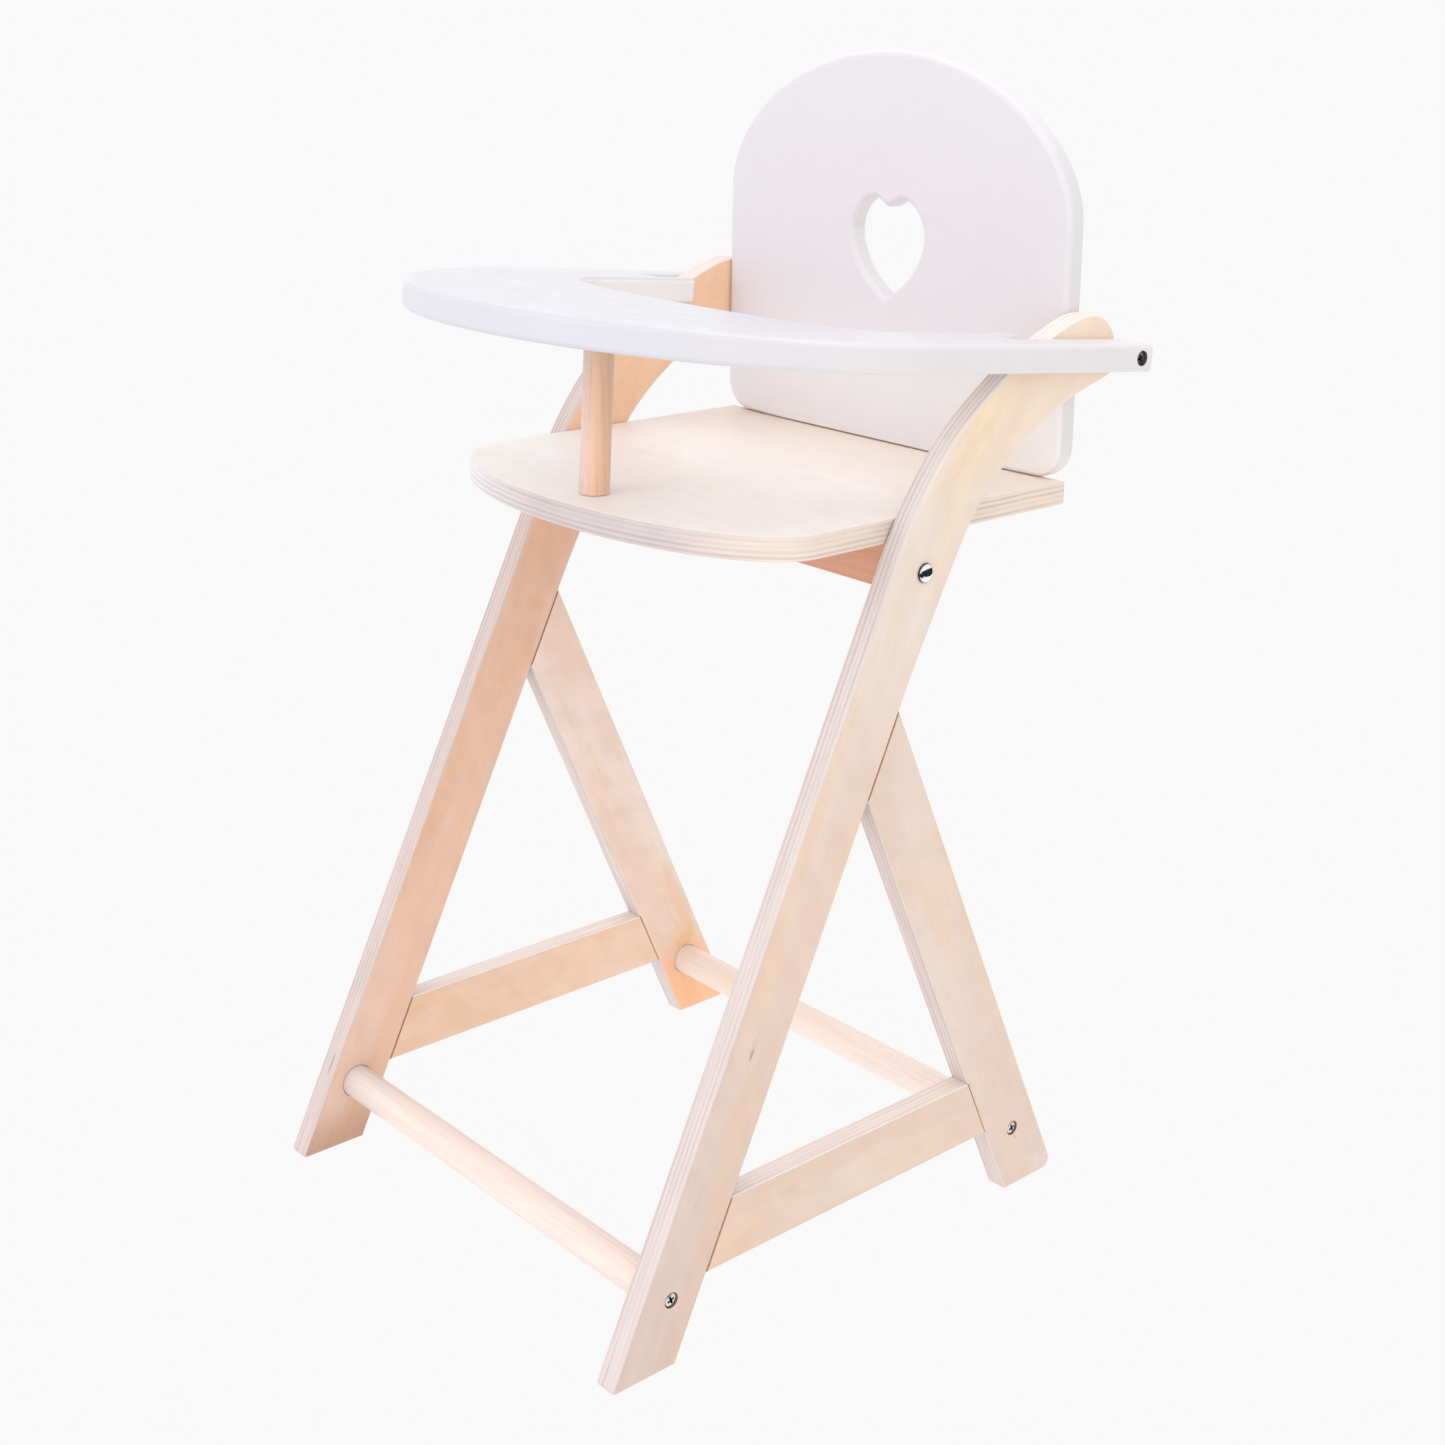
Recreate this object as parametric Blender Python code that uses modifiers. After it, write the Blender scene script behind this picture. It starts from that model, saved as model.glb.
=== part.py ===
# Wooden high chair for a doll: two plywood side frames, a D-shaped seat, a
# domed backrest with a heart cut-out, and a tray on two arms that lifts up.
# Metres, +Z up. The sitter faces -Y; +X is the sitter's left-hand side.
# The origin is on the floor, under the middle of the whole chair.
import math

import bmesh
import bpy
from mathutils import Matrix, Vector

# ---------------------------------------------------------------- dimensions
MM = 0.001
GAP = 0.0003            # clearance between touching pieces

PLY = 0.012             # side frames
FRAME_IN = 0.124        # chair centre plane to a frame's inner face
FRAME_OUT = FRAME_IN + PLY
TOE_R = 0.0021
BOARD_EASE = 0.0012     # rounded free edges of the side frames

SEAT_TOP = 0.369
SEAT_T = 0.0115
SEAT_HALF_W = FRAME_IN - 0.0005
SEAT_FRONT = 0.0732
SEAT_ARC_Y = 0.1262     # the front half ellipse starts here
SEAT_REAR = 0.2950

BACK_FRONT = 0.2897
BACK_T = 0.0115
BACK_HALF_W = FRAME_IN - 0.0004
BACK_H = 0.2052
BACK_ARC_H = 0.1258     # straight sides up to here, half ellipse above
BACK_POWER = 1.93
BACK_CORNER_R = 0.0165

HEART_W = 0.0511
HEART_TOP = 0.1288
HEART_WIDE = 0.1111     # height of the widest place
HEART_TIP = 0.0764
HEART_NOTCH = 0.0042

TRAY_T = 0.0138
TRAY_TILT = math.radians(5.4)
PIVOT_Y, PIVOT_Z = 0.3057, 0.43446
TRAY_HALF_W = 0.1585
TRAY_WAIST = 0.1554     # half width where the front ellipse starts
TRAY_ARC = -0.1463      # measured along the tray from the pivot
TRAY_FRONT = -0.2817
TRAY_END = 0.0072       # the tips are sawn off square here
TRAY_ROUND = 0.0026
CUT_HALF_W = 0.1120
CUT_ARC = -0.1165
CUT_FRONT = -0.1589
CUT_POWER = 2.45
PRONG_END = -0.0505     # inner prong
SLOT_END = -0.0683
SLOT_CLEAR = 0.0006

POST_R = 0.00735
POST_Y = 0.0968
POST_LEAN = math.radians(2.4)
POST_TENON = 0.0065

DOWEL_R = 0.0085
DOWEL_LET_IN = 0.0020   # the rods stand in shallow holes in the legs
DOWEL_FRONT = (0.0343, 0.0336)
DOWEL_REAR = (0.2630, 0.0336)

RAIL_BOTTOM, RAIL_TOP = 0.0385, 0.0705

CROSS_Y, CROSS_D = 0.1826, 0.0210
CROSS_H = 0.0221
BOLT_Z = 0.3443

# ------------------------------------------------------------------- cleaning
for old in list(bpy.data.objects):
    bpy.data.objects.remove(old, do_unlink=True)
for block in (bpy.data.meshes, bpy.data.curves, bpy.data.materials,
              bpy.data.collections):
    for item in list(block):
        block.remove(item)

PARTS = bpy.data.collections.new("doll_high_chair")
CUTTERS = bpy.data.collections.new("cutters")
bpy.context.scene.collection.children.link(PARTS)
bpy.context.scene.collection.children.link(CUTTERS)


# ------------------------------------------------------------------ materials
def material(name, rgb, rough, metal=0.0):
    mat = bpy.data.materials.new(name)
    mat.use_nodes = True
    bsdf = mat.node_tree.nodes["Principled BSDF"]
    bsdf.inputs["Base Color"].default_value = (*rgb, 1.0)
    bsdf.inputs["Roughness"].default_value = rough
    bsdf.inputs["Metallic"].default_value = metal
    mat.diffuse_color = (*rgb, 1.0)
    return mat


COLOURS = {
    "birch": ((0.80, 0.66, 0.53), 0.55, 0.0),
    "beech": ((0.76, 0.54, 0.43), 0.5, 0.0),
    "white": ((0.84, 0.83, 0.87), 0.3, 0.0),
    "nickel": ((0.55, 0.54, 0.52), 0.3, 1.0),
    "chrome": ((0.78, 0.78, 0.78), 0.12, 1.0),
    "zinc": ((0.62, 0.60, 0.55), 0.4, 1.0),
    "pin": ((0.78, 0.60, 0.44), 0.6, 0.0),
}


# ----------------------------------------------------------- outline building
def fillet(points):
    """Outline from (y, z, radius) corners, each turned by a round arc."""
    out = []
    n = len(points)
    for i, (px, py, r) in enumerate(points):
        here = Vector((px, py))
        if r <= 0:
            out.append(here)
            continue
        a = Vector(points[i - 1][:2]) - here
        b = Vector(points[(i + 1) % n][:2]) - here
        a.normalize()
        b.normalize()
        half = math.acos(max(-1.0, min(1.0, a.dot(b)))) / 2
        reach = r / math.tan(half)
        mid = (a + b).normalized()
        centre = here + mid * (r / math.sin(half))
        start = here + a * reach - centre
        end = here + b * reach - centre
        turn = start.angle_signed(end)
        steps = max(2, int(abs(turn) / math.radians(18)) + 1)
        for k in range(steps + 1):
            ang = -turn * k / steps
            c, s = math.cos(ang), math.sin(ang)
            out.append(centre + Vector((start.x * c - start.y * s,
                                        start.x * s + start.y * c)))
    return out


def through(keys, steps):
    """Smooth line through (y, z, heading in degrees) keys."""
    out = []
    for (x0, y0, a0), (x1, y1, a1) in zip(keys, keys[1:]):
        p0, p1 = Vector((x0, y0)), Vector((x1, y1))
        size = (p1 - p0).length
        t0 = Vector((math.cos(math.radians(a0)), math.sin(math.radians(a0)))) * size
        t1 = Vector((math.cos(math.radians(a1)), math.sin(math.radians(a1)))) * size
        for k in range(steps):
            t = k / steps
            out.append(p0 * (2 * t**3 - 3 * t**2 + 1) + t0 * (t**3 - 2 * t**2 + t)
                       + p1 * (3 * t**2 - 2 * t**3) + t1 * (t**3 - t**2))
    out.append(Vector(keys[-1][:2]))
    return out


def arch(half_w, depth, power, steps):
    """Half of a super-ellipse, from (-half_w, 0) over (0, depth) to (half_w, 0),
    in steps of equal length."""
    fine = 720
    line = []
    for k in range(fine + 1):
        a = -math.pi / 2 + math.pi * k / fine
        x = math.copysign(abs(math.sin(a)) ** (2 / power), math.sin(a)) * half_w
        line.append(Vector((x, abs(math.cos(a)) ** (2 / power) * depth)))
    run = [0.0]
    for p, q in zip(line, line[1:]):
        run.append(run[-1] + (q - p).length)
    out, j = [], 0
    for k in range(steps + 1):
        want = run[-1] * k / steps
        while j < fine - 1 and run[j + 1] < want:
            j += 1
        t = (want - run[j]) / (run[j + 1] - run[j])
        out.append(line[j].lerp(line[j + 1], min(1.0, max(0.0, t))))
    return out


# -------------------------------------------------------------- object making
def link(obj, collection=PARTS):
    collection.objects.link(obj)
    return obj


def plate(name, outlines, thick, collection=PARTS):
    """Flat board: outlines in local XY that meet edge to edge, thickness along
    local Z. A board with a hole is given as two outlines."""
    mesh = bpy.data.meshes.new(name)
    bm = bmesh.new()
    corners = {}
    for points in outlines:
        ring = []
        for p in points:
            key = (round(p[0] * 1e6), round(p[1] * 1e6))
            if key not in corners:
                corners[key] = bm.verts.new((p[0], p[1], -thick / 2))
            if not ring or ring[-1] is not corners[key]:
                ring.append(corners[key])
        if ring[0] is ring[-1]:
            ring.pop()
        bm.faces.new(ring)
    made = bmesh.ops.extrude_face_region(bm, geom=list(bm.faces))
    top = [v for v in made["geom"] if isinstance(v, bmesh.types.BMVert)]
    bmesh.ops.translate(bm, vec=(0, 0, thick), verts=top)
    bmesh.ops.recalc_face_normals(bm, faces=bm.faces)
    bm.to_mesh(mesh)
    bm.free()
    return link(bpy.data.objects.new(name, mesh), collection)


def bake(obj):
    """Local transform into the mesh, so bevel widths are true."""
    bpy.context.view_layer.update()
    obj.data.transform(obj.matrix_world)
    obj.matrix_world = Matrix.Identity(4)
    return obj


def mark_free_edges(obj, seams):
    """Weight 1 on the outline edges that are not part of a butted joint; a
    joint is a straight line given by two points."""
    bm = bmesh.new()
    bm.from_mesh(obj.data)
    layer = bm.edges.layers.float.new("bevel_weight_edge")
    for edge in bm.edges:
        a, b = (v.co for v in edge.verts)
        if abs(a.z - b.z) > 0.001:
            continue
        joint = False
        for p, q in seams:
            d = (q - p).normalized()
            far = [abs(d.cross(Vector(v.xy) - p)) for v in (a, b)]
            run = [d.dot(Vector(v.xy) - p) / (q - p).length for v in (a, b)]
            if max(far) < 0.0001 and min(run) > -0.01 and max(run) < 1.01:
                joint = True
        edge[layer] = 0.0 if joint else 1.0
    bm.to_mesh(obj.data)
    bm.free()


def side_plate(name, outline, x_mid, seams, collection=PARTS):
    """Plywood piece of a side frame: outline in chair (Y, Z)."""
    obj = plate(name, [outline], PLY, collection)
    mark_free_edges(obj, seams)
    # local X -> +Y, local Y -> +Z, local Z -> +X
    turn = Matrix(((0, 0, 1, 0), (1, 0, 0, 0), (0, 1, 0, 0), (0, 0, 0, 1)))
    obj.matrix_world = Matrix.Translation((x_mid, Y_SHIFT, 0.0)) @ turn
    bake(obj)
    mod = obj.modifiers.new("rounded_free_edges", "BEVEL")
    mod.width = BOARD_EASE
    mod.segments = 1
    mod.limit_method = "WEIGHT"
    mod.use_clamp_overlap = False
    return obj


def ease(obj, width, segments=1, angle=50.0):
    mod = obj.modifiers.new("eased_edges", "BEVEL")
    mod.width = width
    mod.segments = segments
    mod.limit_method = "ANGLE"
    mod.angle_limit = math.radians(angle)
    mod.use_clamp_overlap = False
    return obj


def cut(obj, cutter, operation="DIFFERENCE"):
    mod = obj.modifiers.new("cut_" + cutter.name, "BOOLEAN")
    mod.operation = operation
    mod.solver = "EXACT"
    mod.object = cutter
    cutter.hide_render = True
    cutter.display_type = "WIRE"


def cylinder(name, radius, length, centre, axis="X", sides=20, collection=PARTS,
             radius_end=None):
    """Solid cylinder or cone; radius_end is at the +axis end."""
    mesh = bpy.data.meshes.new(name)
    bm = bmesh.new()
    bmesh.ops.create_cone(bm, cap_ends=True, cap_tris=False, segments=sides,
                          radius1=radius,
                          radius2=radius if radius_end is None else radius_end,
                          depth=length)
    bm.to_mesh(mesh)
    bm.free()
    obj = bpy.data.objects.new(name, mesh)
    turn = {"X": Matrix.Rotation(math.pi / 2, 4, "Y"),
            "Y": Matrix.Rotation(-math.pi / 2, 4, "X"),
            "Z": Matrix.Identity(4)}[axis]
    obj.matrix_world = Matrix.Translation(centre) @ turn
    return link(obj, collection)


def box(name, size, centre, collection=PARTS):
    mesh = bpy.data.meshes.new(name)
    bm = bmesh.new()
    bmesh.ops.create_cube(bm, size=1.0)
    bmesh.ops.scale(bm, vec=size, verts=bm.verts)
    bm.to_mesh(mesh)
    bm.free()
    obj = bpy.data.objects.new(name, mesh)
    obj.matrix_world = Matrix.Translation(centre)
    return link(obj, collection)


def turned(name, profile, sides, matrix, collection=PARTS):
    """Turned solid: (radius, height) profile from top to bottom round local Z."""
    mesh = bpy.data.meshes.new(name)
    bm = bmesh.new()
    verts = [bm.verts.new((r, 0.0, h)) for r, h in profile]
    for a, b in zip(verts, verts[1:]):
        bm.edges.new((a, b))
    bm.to_mesh(mesh)
    bm.free()
    obj = bpy.data.objects.new(name, mesh)
    mod = obj.modifiers.new("turn", "SCREW")
    mod.angle = 2 * math.pi
    mod.steps = sides
    mod.render_steps = sides
    mod.use_merge_vertices = True
    mod.merge_threshold = 0.00001
    mod.use_normal_calculate = False
    obj.matrix_world = matrix
    return link(obj, collection)


def finish(obj, colour, smooth=True, angle=35.0):
    if isinstance(obj.data, bpy.types.Mesh):
        rgb, rough, metal = COLOURS[colour]
        obj.data.materials.clear()
        obj.data.materials.append(material(obj.name + "_" + colour, rgb, rough, metal))
        if smooth:
            obj.data.shade_smooth()
            obj.data.set_sharp_from_angle(angle=math.radians(angle))
    return obj


def chair(x, y, z):
    """Drawing position (front toe at y = 0) to chair position."""
    return Vector((x, y + Y_SHIFT, z))


# ============================================================== side frames
# The front leg runs up from the toe, bends back and becomes the arm.
LEG_SLOPE = (0.1690 - 0.0370) / 0.2805       # rear edge, Y per Z
SEAM_TOP_Z, SEAM_LOW_Z = 0.2805, 0.2405      # mitre of front and rear leg


def rear_edge(z):
    return 0.0370 + LEG_SLOPE * z


def front_leg_outline():
    top = through([(0.1650, 0.3530, 65.0), (0.1965, 0.4005, 48.0),
                   (0.2320, 0.4290, 34.0), (0.2690, 0.4477, 22.0),
                   (0.2930, 0.4540, 0.0), (0.3065, 0.4498, -40.0),
                   (0.3130, 0.4380, -90.0)], 4)
    under = through([(0.3090, 0.4223, 196.5), (0.2650, 0.4074, 207.0),
                     (0.2225, 0.3750, 228.0), (0.2060, 0.3515, 242.0),
                     (0.1690, 0.2805, 244.8)], 4)
    toe = fillet([(rear_edge(0.10), 0.10, 0), (0.0370, 0.0, 0),
                  (0.0, 0.0, TOE_R), (0.0467, 0.10, 0)])
    heel = fillet([(0.3130, 0.4380, 0), (0.3130, 0.4240, 0.0030),
                   (0.3000, 0.4201, 0)])
    seam = [Vector((rear_edge(z), z)) for z in (SEAM_LOW_Z, RAIL_TOP, RAIL_BOTTOM)]
    return top[:-1] + heel[:-1] + under[1:] + seam + toe[1:-1]


# The rear leg is mitred along the front leg's rear edge.
REAR_SLOPE = -0.456


def rear_leg_outline():
    gap = GAP * 1.15
    top_z, low_z = SEAM_TOP_Z, SEAM_LOW_Z
    return fillet([
        (rear_edge(top_z) + gap, top_z, 0),
        (rear_edge(low_z) + gap, low_z, 0),
        (rear_leg_front(RAIL_TOP), RAIL_TOP, 0),
        (rear_leg_front(RAIL_BOTTOM), RAIL_BOTTOM, 0),
        (0.2598, 0.0, 0),
        (rear_edge(top_z) + gap - REAR_SLOPE * top_z, 0.0, 0.0050)])


def rear_leg_front(z):
    y0 = rear_edge(SEAM_LOW_Z) + GAP * 1.15
    return y0 + (0.2598 - y0) * (SEAM_LOW_Z - z) / SEAM_LOW_Z


def side_rail_outline():
    gap = GAP * 1.15
    return fillet([
        (rear_edge(RAIL_BOTTOM) + gap, RAIL_BOTTOM, 0),
        (rear_leg_front(RAIL_BOTTOM) - gap, RAIL_BOTTOM, 0),
        (rear_leg_front(RAIL_TOP) - gap, RAIL_TOP, 0),
        (rear_edge(RAIL_TOP) + gap, RAIL_TOP, 0)])


def on_front(z):
    return Vector((rear_edge(z), z))


def on_rear(z):
    return Vector((rear_leg_front(z), z))


def along_seam(make, gap, ends):
    return (Vector((make(ends[0]).x + gap, ends[0])), Vector((make(ends[1]).x + gap, ends[1])))


MITRE, RAIL_Z = (SEAM_LOW_Z, SEAM_TOP_Z), (RAIL_BOTTOM, RAIL_TOP)
SEAMS = {
    "front_leg": [along_seam(on_front, 0.0, MITRE), along_seam(on_front, 0.0, RAIL_Z)],
    "rear_leg": [along_seam(on_front, GAP * 1.15, MITRE), along_seam(on_rear, 0.0, RAIL_Z)],
    "side_rail": [along_seam(on_front, GAP * 1.15, RAIL_Z),
                  along_seam(on_rear, -GAP * 1.15, RAIL_Z)],
}

# the chair is centred front to back between the toes and the tray's tips
_front = min(p.x for p in front_leg_outline())
_rear = max(max(p.x for p in front_leg_outline()),
            PIVOT_Y + TRAY_END * math.cos(TRAY_TILT) + TRAY_T / 2 * math.sin(TRAY_TILT))
Y_SHIFT = -(_front + _rear) / 2

HEAD_R = 0.00305        # countersunk screw heads, drawn in below the surface
HEAD_DEPTH = 0.0021
SHANK_R = 0.0017
PIVOT_HEAD_R = 0.0034   # these sit in straight-sided holes in the tray's tips


def screw(name, head_centre, direction, length, targets, sink=0.0006,
          clear=0.0003, head=HEAD_R, flare=1.0):
    """Countersunk crosshead screw and its hole in each target; the head sits
    `sink` below the face that head_centre is on, in a hole that widens by
    `flare` per depth above the head."""
    d = Vector(direction).normalized()
    matrix = (Matrix.Translation(Vector(head_centre) - d * sink)
              @ d.to_track_quat("Z", "Y").to_matrix().to_4x4())
    profile = [(0.0, 0.0004), (head * 0.55, 0.0003), (head, 0.0),
               (head, -0.0004), (SHANK_R, -HEAD_DEPTH), (SHANK_R, -length + 0.004),
               (0.0004, -length), (0.0, -length)]
    obj = turned(name, profile, 20, matrix)
    slots = []
    for k, turn in enumerate((0.35, 0.35 + math.pi / 2)):
        slot = box(f"{name}_slot{k}", (0.0036, 0.0008, 0.0026), (0, 0, 0), CUTTERS)
        slot.matrix_world = (matrix @ Matrix.Rotation(turn, 4, "Z")
                             @ Matrix.Translation((0, 0, 0.0002)))
        slots.append(slot)
    cut(slots[0], slots[1], "UNION")
    cut(obj, slots[0])
    finish(obj, "nickel")
    rim = sink + 0.0010
    wide = [(0.0, rim), (head + clear + rim * flare, rim), (head + clear, 0.0),
            (head + clear, -0.0004 - clear),
            (SHANK_R + clear, -HEAD_DEPTH - clear), (SHANK_R + clear, -length - 0.0005),
            (0.0, -length - 0.0005)]
    hole = turned(name + "_hole", wide, 16, matrix, CUTTERS)
    for target in targets:
        cut(target, hole)
    return obj


PIN_R = 0.0029


def pin_between(name, point, direction, half_length, targets, radius=PIN_R):
    """Blind wooden pin across a glued joint, with its holes in both pieces."""
    d = Vector(direction).normalized()
    turn = d.to_track_quat("Z", "Y").to_matrix().to_4x4()
    obj = cylinder(name, radius, half_length * 2, (0, 0, 0), "Z", 12)
    obj.matrix_world = Matrix.Translation(point) @ turn
    finish(obj, "pin")
    hole = cylinder(name + "_hole", radius + GAP, half_length * 2 + 0.0010, (0, 0, 0),
                    "Z", 12, CUTTERS)
    hole.matrix_world = obj.matrix_world.copy()
    for target in targets:
        cut(target, hole)
    return obj


SIDES = (("left", 1.0), ("right", -1.0))
frame_parts = {}
for side, s in SIDES:
    mid = s * (FRAME_IN + PLY / 2)
    leg = side_plate("front_leg_" + side, front_leg_outline(), mid, SEAMS["front_leg"])
    back_leg = side_plate("rear_leg_" + side, rear_leg_outline(), mid, SEAMS["rear_leg"])
    rail = side_plate("side_rail_" + side, side_rail_outline(), mid, SEAMS["side_rail"])
    # hidden glued pins in the mitred joints
    n_seam = Vector((0.0, 1.0, -LEG_SLOPE))
    n_rear = Vector((0.0, 1.0, (0.2598 - 0.1502) / 0.2405))
    for k, z in enumerate((0.2515, 0.2674)):
        pin_between(f"leg_pin_{'lower' if k == 0 else 'upper'}_{side}",
                    chair(mid, rear_edge(z) + GAP / 2, z), n_seam,
                    0.0085 if k == 0 else 0.0060, (leg, back_leg))
    pin_between(f"rail_front_pin_{side}", chair(mid, rear_edge(0.0545) + GAP / 2, 0.0545),
                n_seam, 0.0110, (leg, rail))
    pin_between(f"rail_rear_pin_{side}", chair(mid, rear_leg_front(0.0545) - GAP / 2, 0.0545),
                n_rear, 0.0110, (back_leg, rail))
    frame_parts[side] = (leg, back_leg, rail)

# ==================================================================== dowels
for name, (y, z), which in (("front", DOWEL_FRONT, 0), ("rear", DOWEL_REAR, 1)):
    rod = cylinder(name + "_dowel", DOWEL_R, 2 * (FRAME_IN + DOWEL_LET_IN - GAP),
                   chair(0, y, z), "X", 32)
    for side, s in SIDES:
        socket = cylinder(f"{name}_dowel_socket_{side}", DOWEL_R + GAP, 2 * DOWEL_LET_IN,
                          chair(s * FRAME_IN, y, z), "X", 32, CUTTERS)
        cut(frame_parts[side][which], socket)
        screw(f"{name}_dowel_screw_{side}", chair(s * FRAME_OUT, y, z), (s, 0, 0),
              0.034, (frame_parts[side][which], rod))
    finish(rod, "beech")

# ============================================================ seat and its rail
under_seat = SEAT_TOP - SEAT_T
cross = box("seat_rail", (2 * (FRAME_IN - GAP), CROSS_D, CROSS_H),
            chair(0, CROSS_Y, under_seat - GAP - CROSS_H / 2))
cross.data.transform(Matrix.Identity(4))
ease(cross, 0.0008, 1, 50.0)

front = arch(SEAT_HALF_W, SEAT_ARC_Y - SEAT_FRONT, 2.0, 44)
outline = [Vector((p.x, SEAT_ARC_Y - p.y)) for p in front]
outline += [Vector((SEAT_HALF_W, SEAT_REAR)), Vector((-SEAT_HALF_W, SEAT_REAR))]
seat = plate("seat", [outline], SEAT_T)
seat.matrix_world = Matrix.Translation(chair(0, 0, SEAT_TOP - SEAT_T / 2))
bake(seat)
ease(seat, 0.0009, 1, 50.0)

# connector bolts: domed head outside the leg, barrel nut inside the rail
BOLT_R = 0.0030
DOME_R, DOME_H = 0.0047, 0.0014
for side, s in SIDES:
    y, z = CROSS_Y - 0.0002, BOLT_Z
    face = Vector((s * FRAME_OUT, y + Y_SHIFT, z))
    turn = Vector((s, 0, 0)).to_track_quat("Z", "Y").to_matrix().to_4x4()
    dome = [(DOME_R * math.sin(math.radians(a)),
             GAP + 0.0003 + DOME_H * math.cos(math.radians(a)))
            for a in (22, 44, 64, 80, 90)]
    profile = ([(0.0, GAP + 0.0003 + DOME_H)] + dome
               + [(DOME_R, GAP), (BOLT_R, GAP), (BOLT_R, -0.0300), (0.0, -0.0300)])
    bolt = turned(f"seat_rail_bolt_{side}", profile, 24, Matrix.Translation(face) @ turn)
    finish(bolt, "chrome", True, 50.0)
    hole = cylinder(f"bolt_hole_{side}", BOLT_R + GAP, 0.0340,
                    face - Vector((s * 0.0155, 0, 0)), "X", 16, CUTTERS)
    cut(frame_parts[side][0], hole)
    cut(cross, hole)
    nut = cylinder(f"seat_rail_nut_{side}", 0.0045, 0.0140,
                   face + Vector((-s * 0.0230, 0, -0.0010)), "Z", 20)
    bore = cylinder(f"nut_bore_{side}", BOLT_R + GAP, 0.0120,
                    face - Vector((s * 0.0230, 0, 0)), "X", 16, CUTTERS)
    cut(nut, bore)
    finish(nut, "zinc")
    pocket = cylinder(f"nut_pocket_{side}", 0.0045 + GAP, 0.0180,
                      face + Vector((-s * 0.0230, 0, -0.0027)), "Z", 20, CUTTERS)
    cut(cross, pocket)

# screws up through the rail into the seat
for side, s in SIDES:
    screw(f"seat_screw_{side}", chair(s * 0.0600, CROSS_Y, under_seat - GAP - CROSS_H),
          (0, 0, -1), 0.0285, (cross, seat))
finish(cross, "beech")

# ================================================================== backrest
half_arc = [Vector((p.x, BACK_ARC_H + p.y))
            for p in arch(BACK_HALF_W, BACK_H - BACK_ARC_H, BACK_POWER, 48)[24:]]
half_arc[0].x = 0.0
half_foot = fillet([(BACK_HALF_W, BACK_ARC_H, 0), (BACK_HALF_W, 0, BACK_CORNER_R),
                    (0, 0, 0)])[1:]


def heart(steps):
    """Right half of a plump heart: full sides, a shallow notch, a pointed foot."""
    half = [(0.0, HEART_TOP - HEART_NOTCH, 6.0), (0.0100, HEART_TOP, 0.0),
            (HEART_W / 2, HEART_WIDE, -90.0), (0.0193, 0.0937, -124.0),
            (0.0, HEART_TIP, -141.0)]
    return through(half, steps)


half = half_arc + half_foot + list(reversed(heart(5)))
backrest = plate("backrest", [half, [Vector((-p.x, p.y)) for p in reversed(half)]],
                 BACK_T)
# local X -> X, local Y -> up, local Z -> -Y
stand = Matrix(((1, 0, 0, 0), (0, 0, -1, 0), (0, 1, 0, 0), (0, 0, 0, 1)))
backrest.matrix_world = Matrix.Translation(
    chair(0, BACK_FRONT + BACK_T / 2, SEAT_TOP + GAP)) @ stand
bake(backrest)
ease(backrest, 0.0012, 1, 50.0)

for side, s in SIDES:
    # glued pins from the arms into the side edges
    for word, z in (("lower", 0.4275), ("upper", 0.4465)):
        pin_between(f"backrest_pin_{word}_{side}",
                    chair(s * (FRAME_IN - 0.0006), BACK_FRONT + BACK_T / 2, z),
                    (s, 0, 0), 0.0085, (frame_parts[side][0], backrest), 0.0024)
finish(seat, "birch")

# ====================================================== tray on its pivot axis
pivot = bpy.data.objects.new("tray_pivot", None)
pivot.empty_display_size = 0.02
bpy.context.scene.collection.objects.link(pivot)
pivot.location = chair(0, PIVOT_Y, PIVOT_Z)
pivot.rotation_euler = (-TRAY_TILT, 0, 0)
bpy.context.view_layer.update()

front = arch(TRAY_WAIST, TRAY_ARC - TRAY_FRONT, 2.0, 56)
outer = [Vector((p.x, TRAY_ARC - p.y)) for p in front]
slot_in = FRAME_IN - SLOT_CLEAR
slot_out = FRAME_OUT + SLOT_CLEAR
cut_arc = [Vector((p.x, CUT_ARC - p.y))
           for p in arch(CUT_HALF_W, CUT_ARC - CUT_FRONT, CUT_POWER, 30)]
tips = fillet([
    (TRAY_WAIST, TRAY_ARC, 0), (TRAY_HALF_W, TRAY_END, 0), (slot_out, TRAY_END, 0),
    (slot_out, SLOT_END, 0), (slot_in, SLOT_END, 0), (slot_in, PRONG_END, 0),
    (CUT_HALF_W, PRONG_END, 0), (CUT_HALF_W, CUT_ARC, 0)])[1:-1]
mirror = [Vector((-p.x, p.y)) for p in reversed(tips)]
tray_outline = outer + tips + list(reversed(cut_arc)) + mirror
tray = plate("tray", [tray_outline], TRAY_T)
# every edge is rounded but those round the square ends of the tips
bm = bmesh.new()
bm.from_mesh(tray.data)
layer = bm.edges.layers.float.new("bevel_weight_edge")
for edge in bm.edges:
    at_tip = min(v.co.y for v in edge.verts) > TRAY_END - 0.0001
    turned_over = edge.calc_face_angle() > math.radians(50)
    edge[layer] = 1.0 if turned_over and not at_tip else 0.0
bm.to_mesh(tray.data)
bm.free()
ease(tray, TRAY_ROUND, 3)
tray.modifiers["eased_edges"].limit_method = "WEIGHT"

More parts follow.
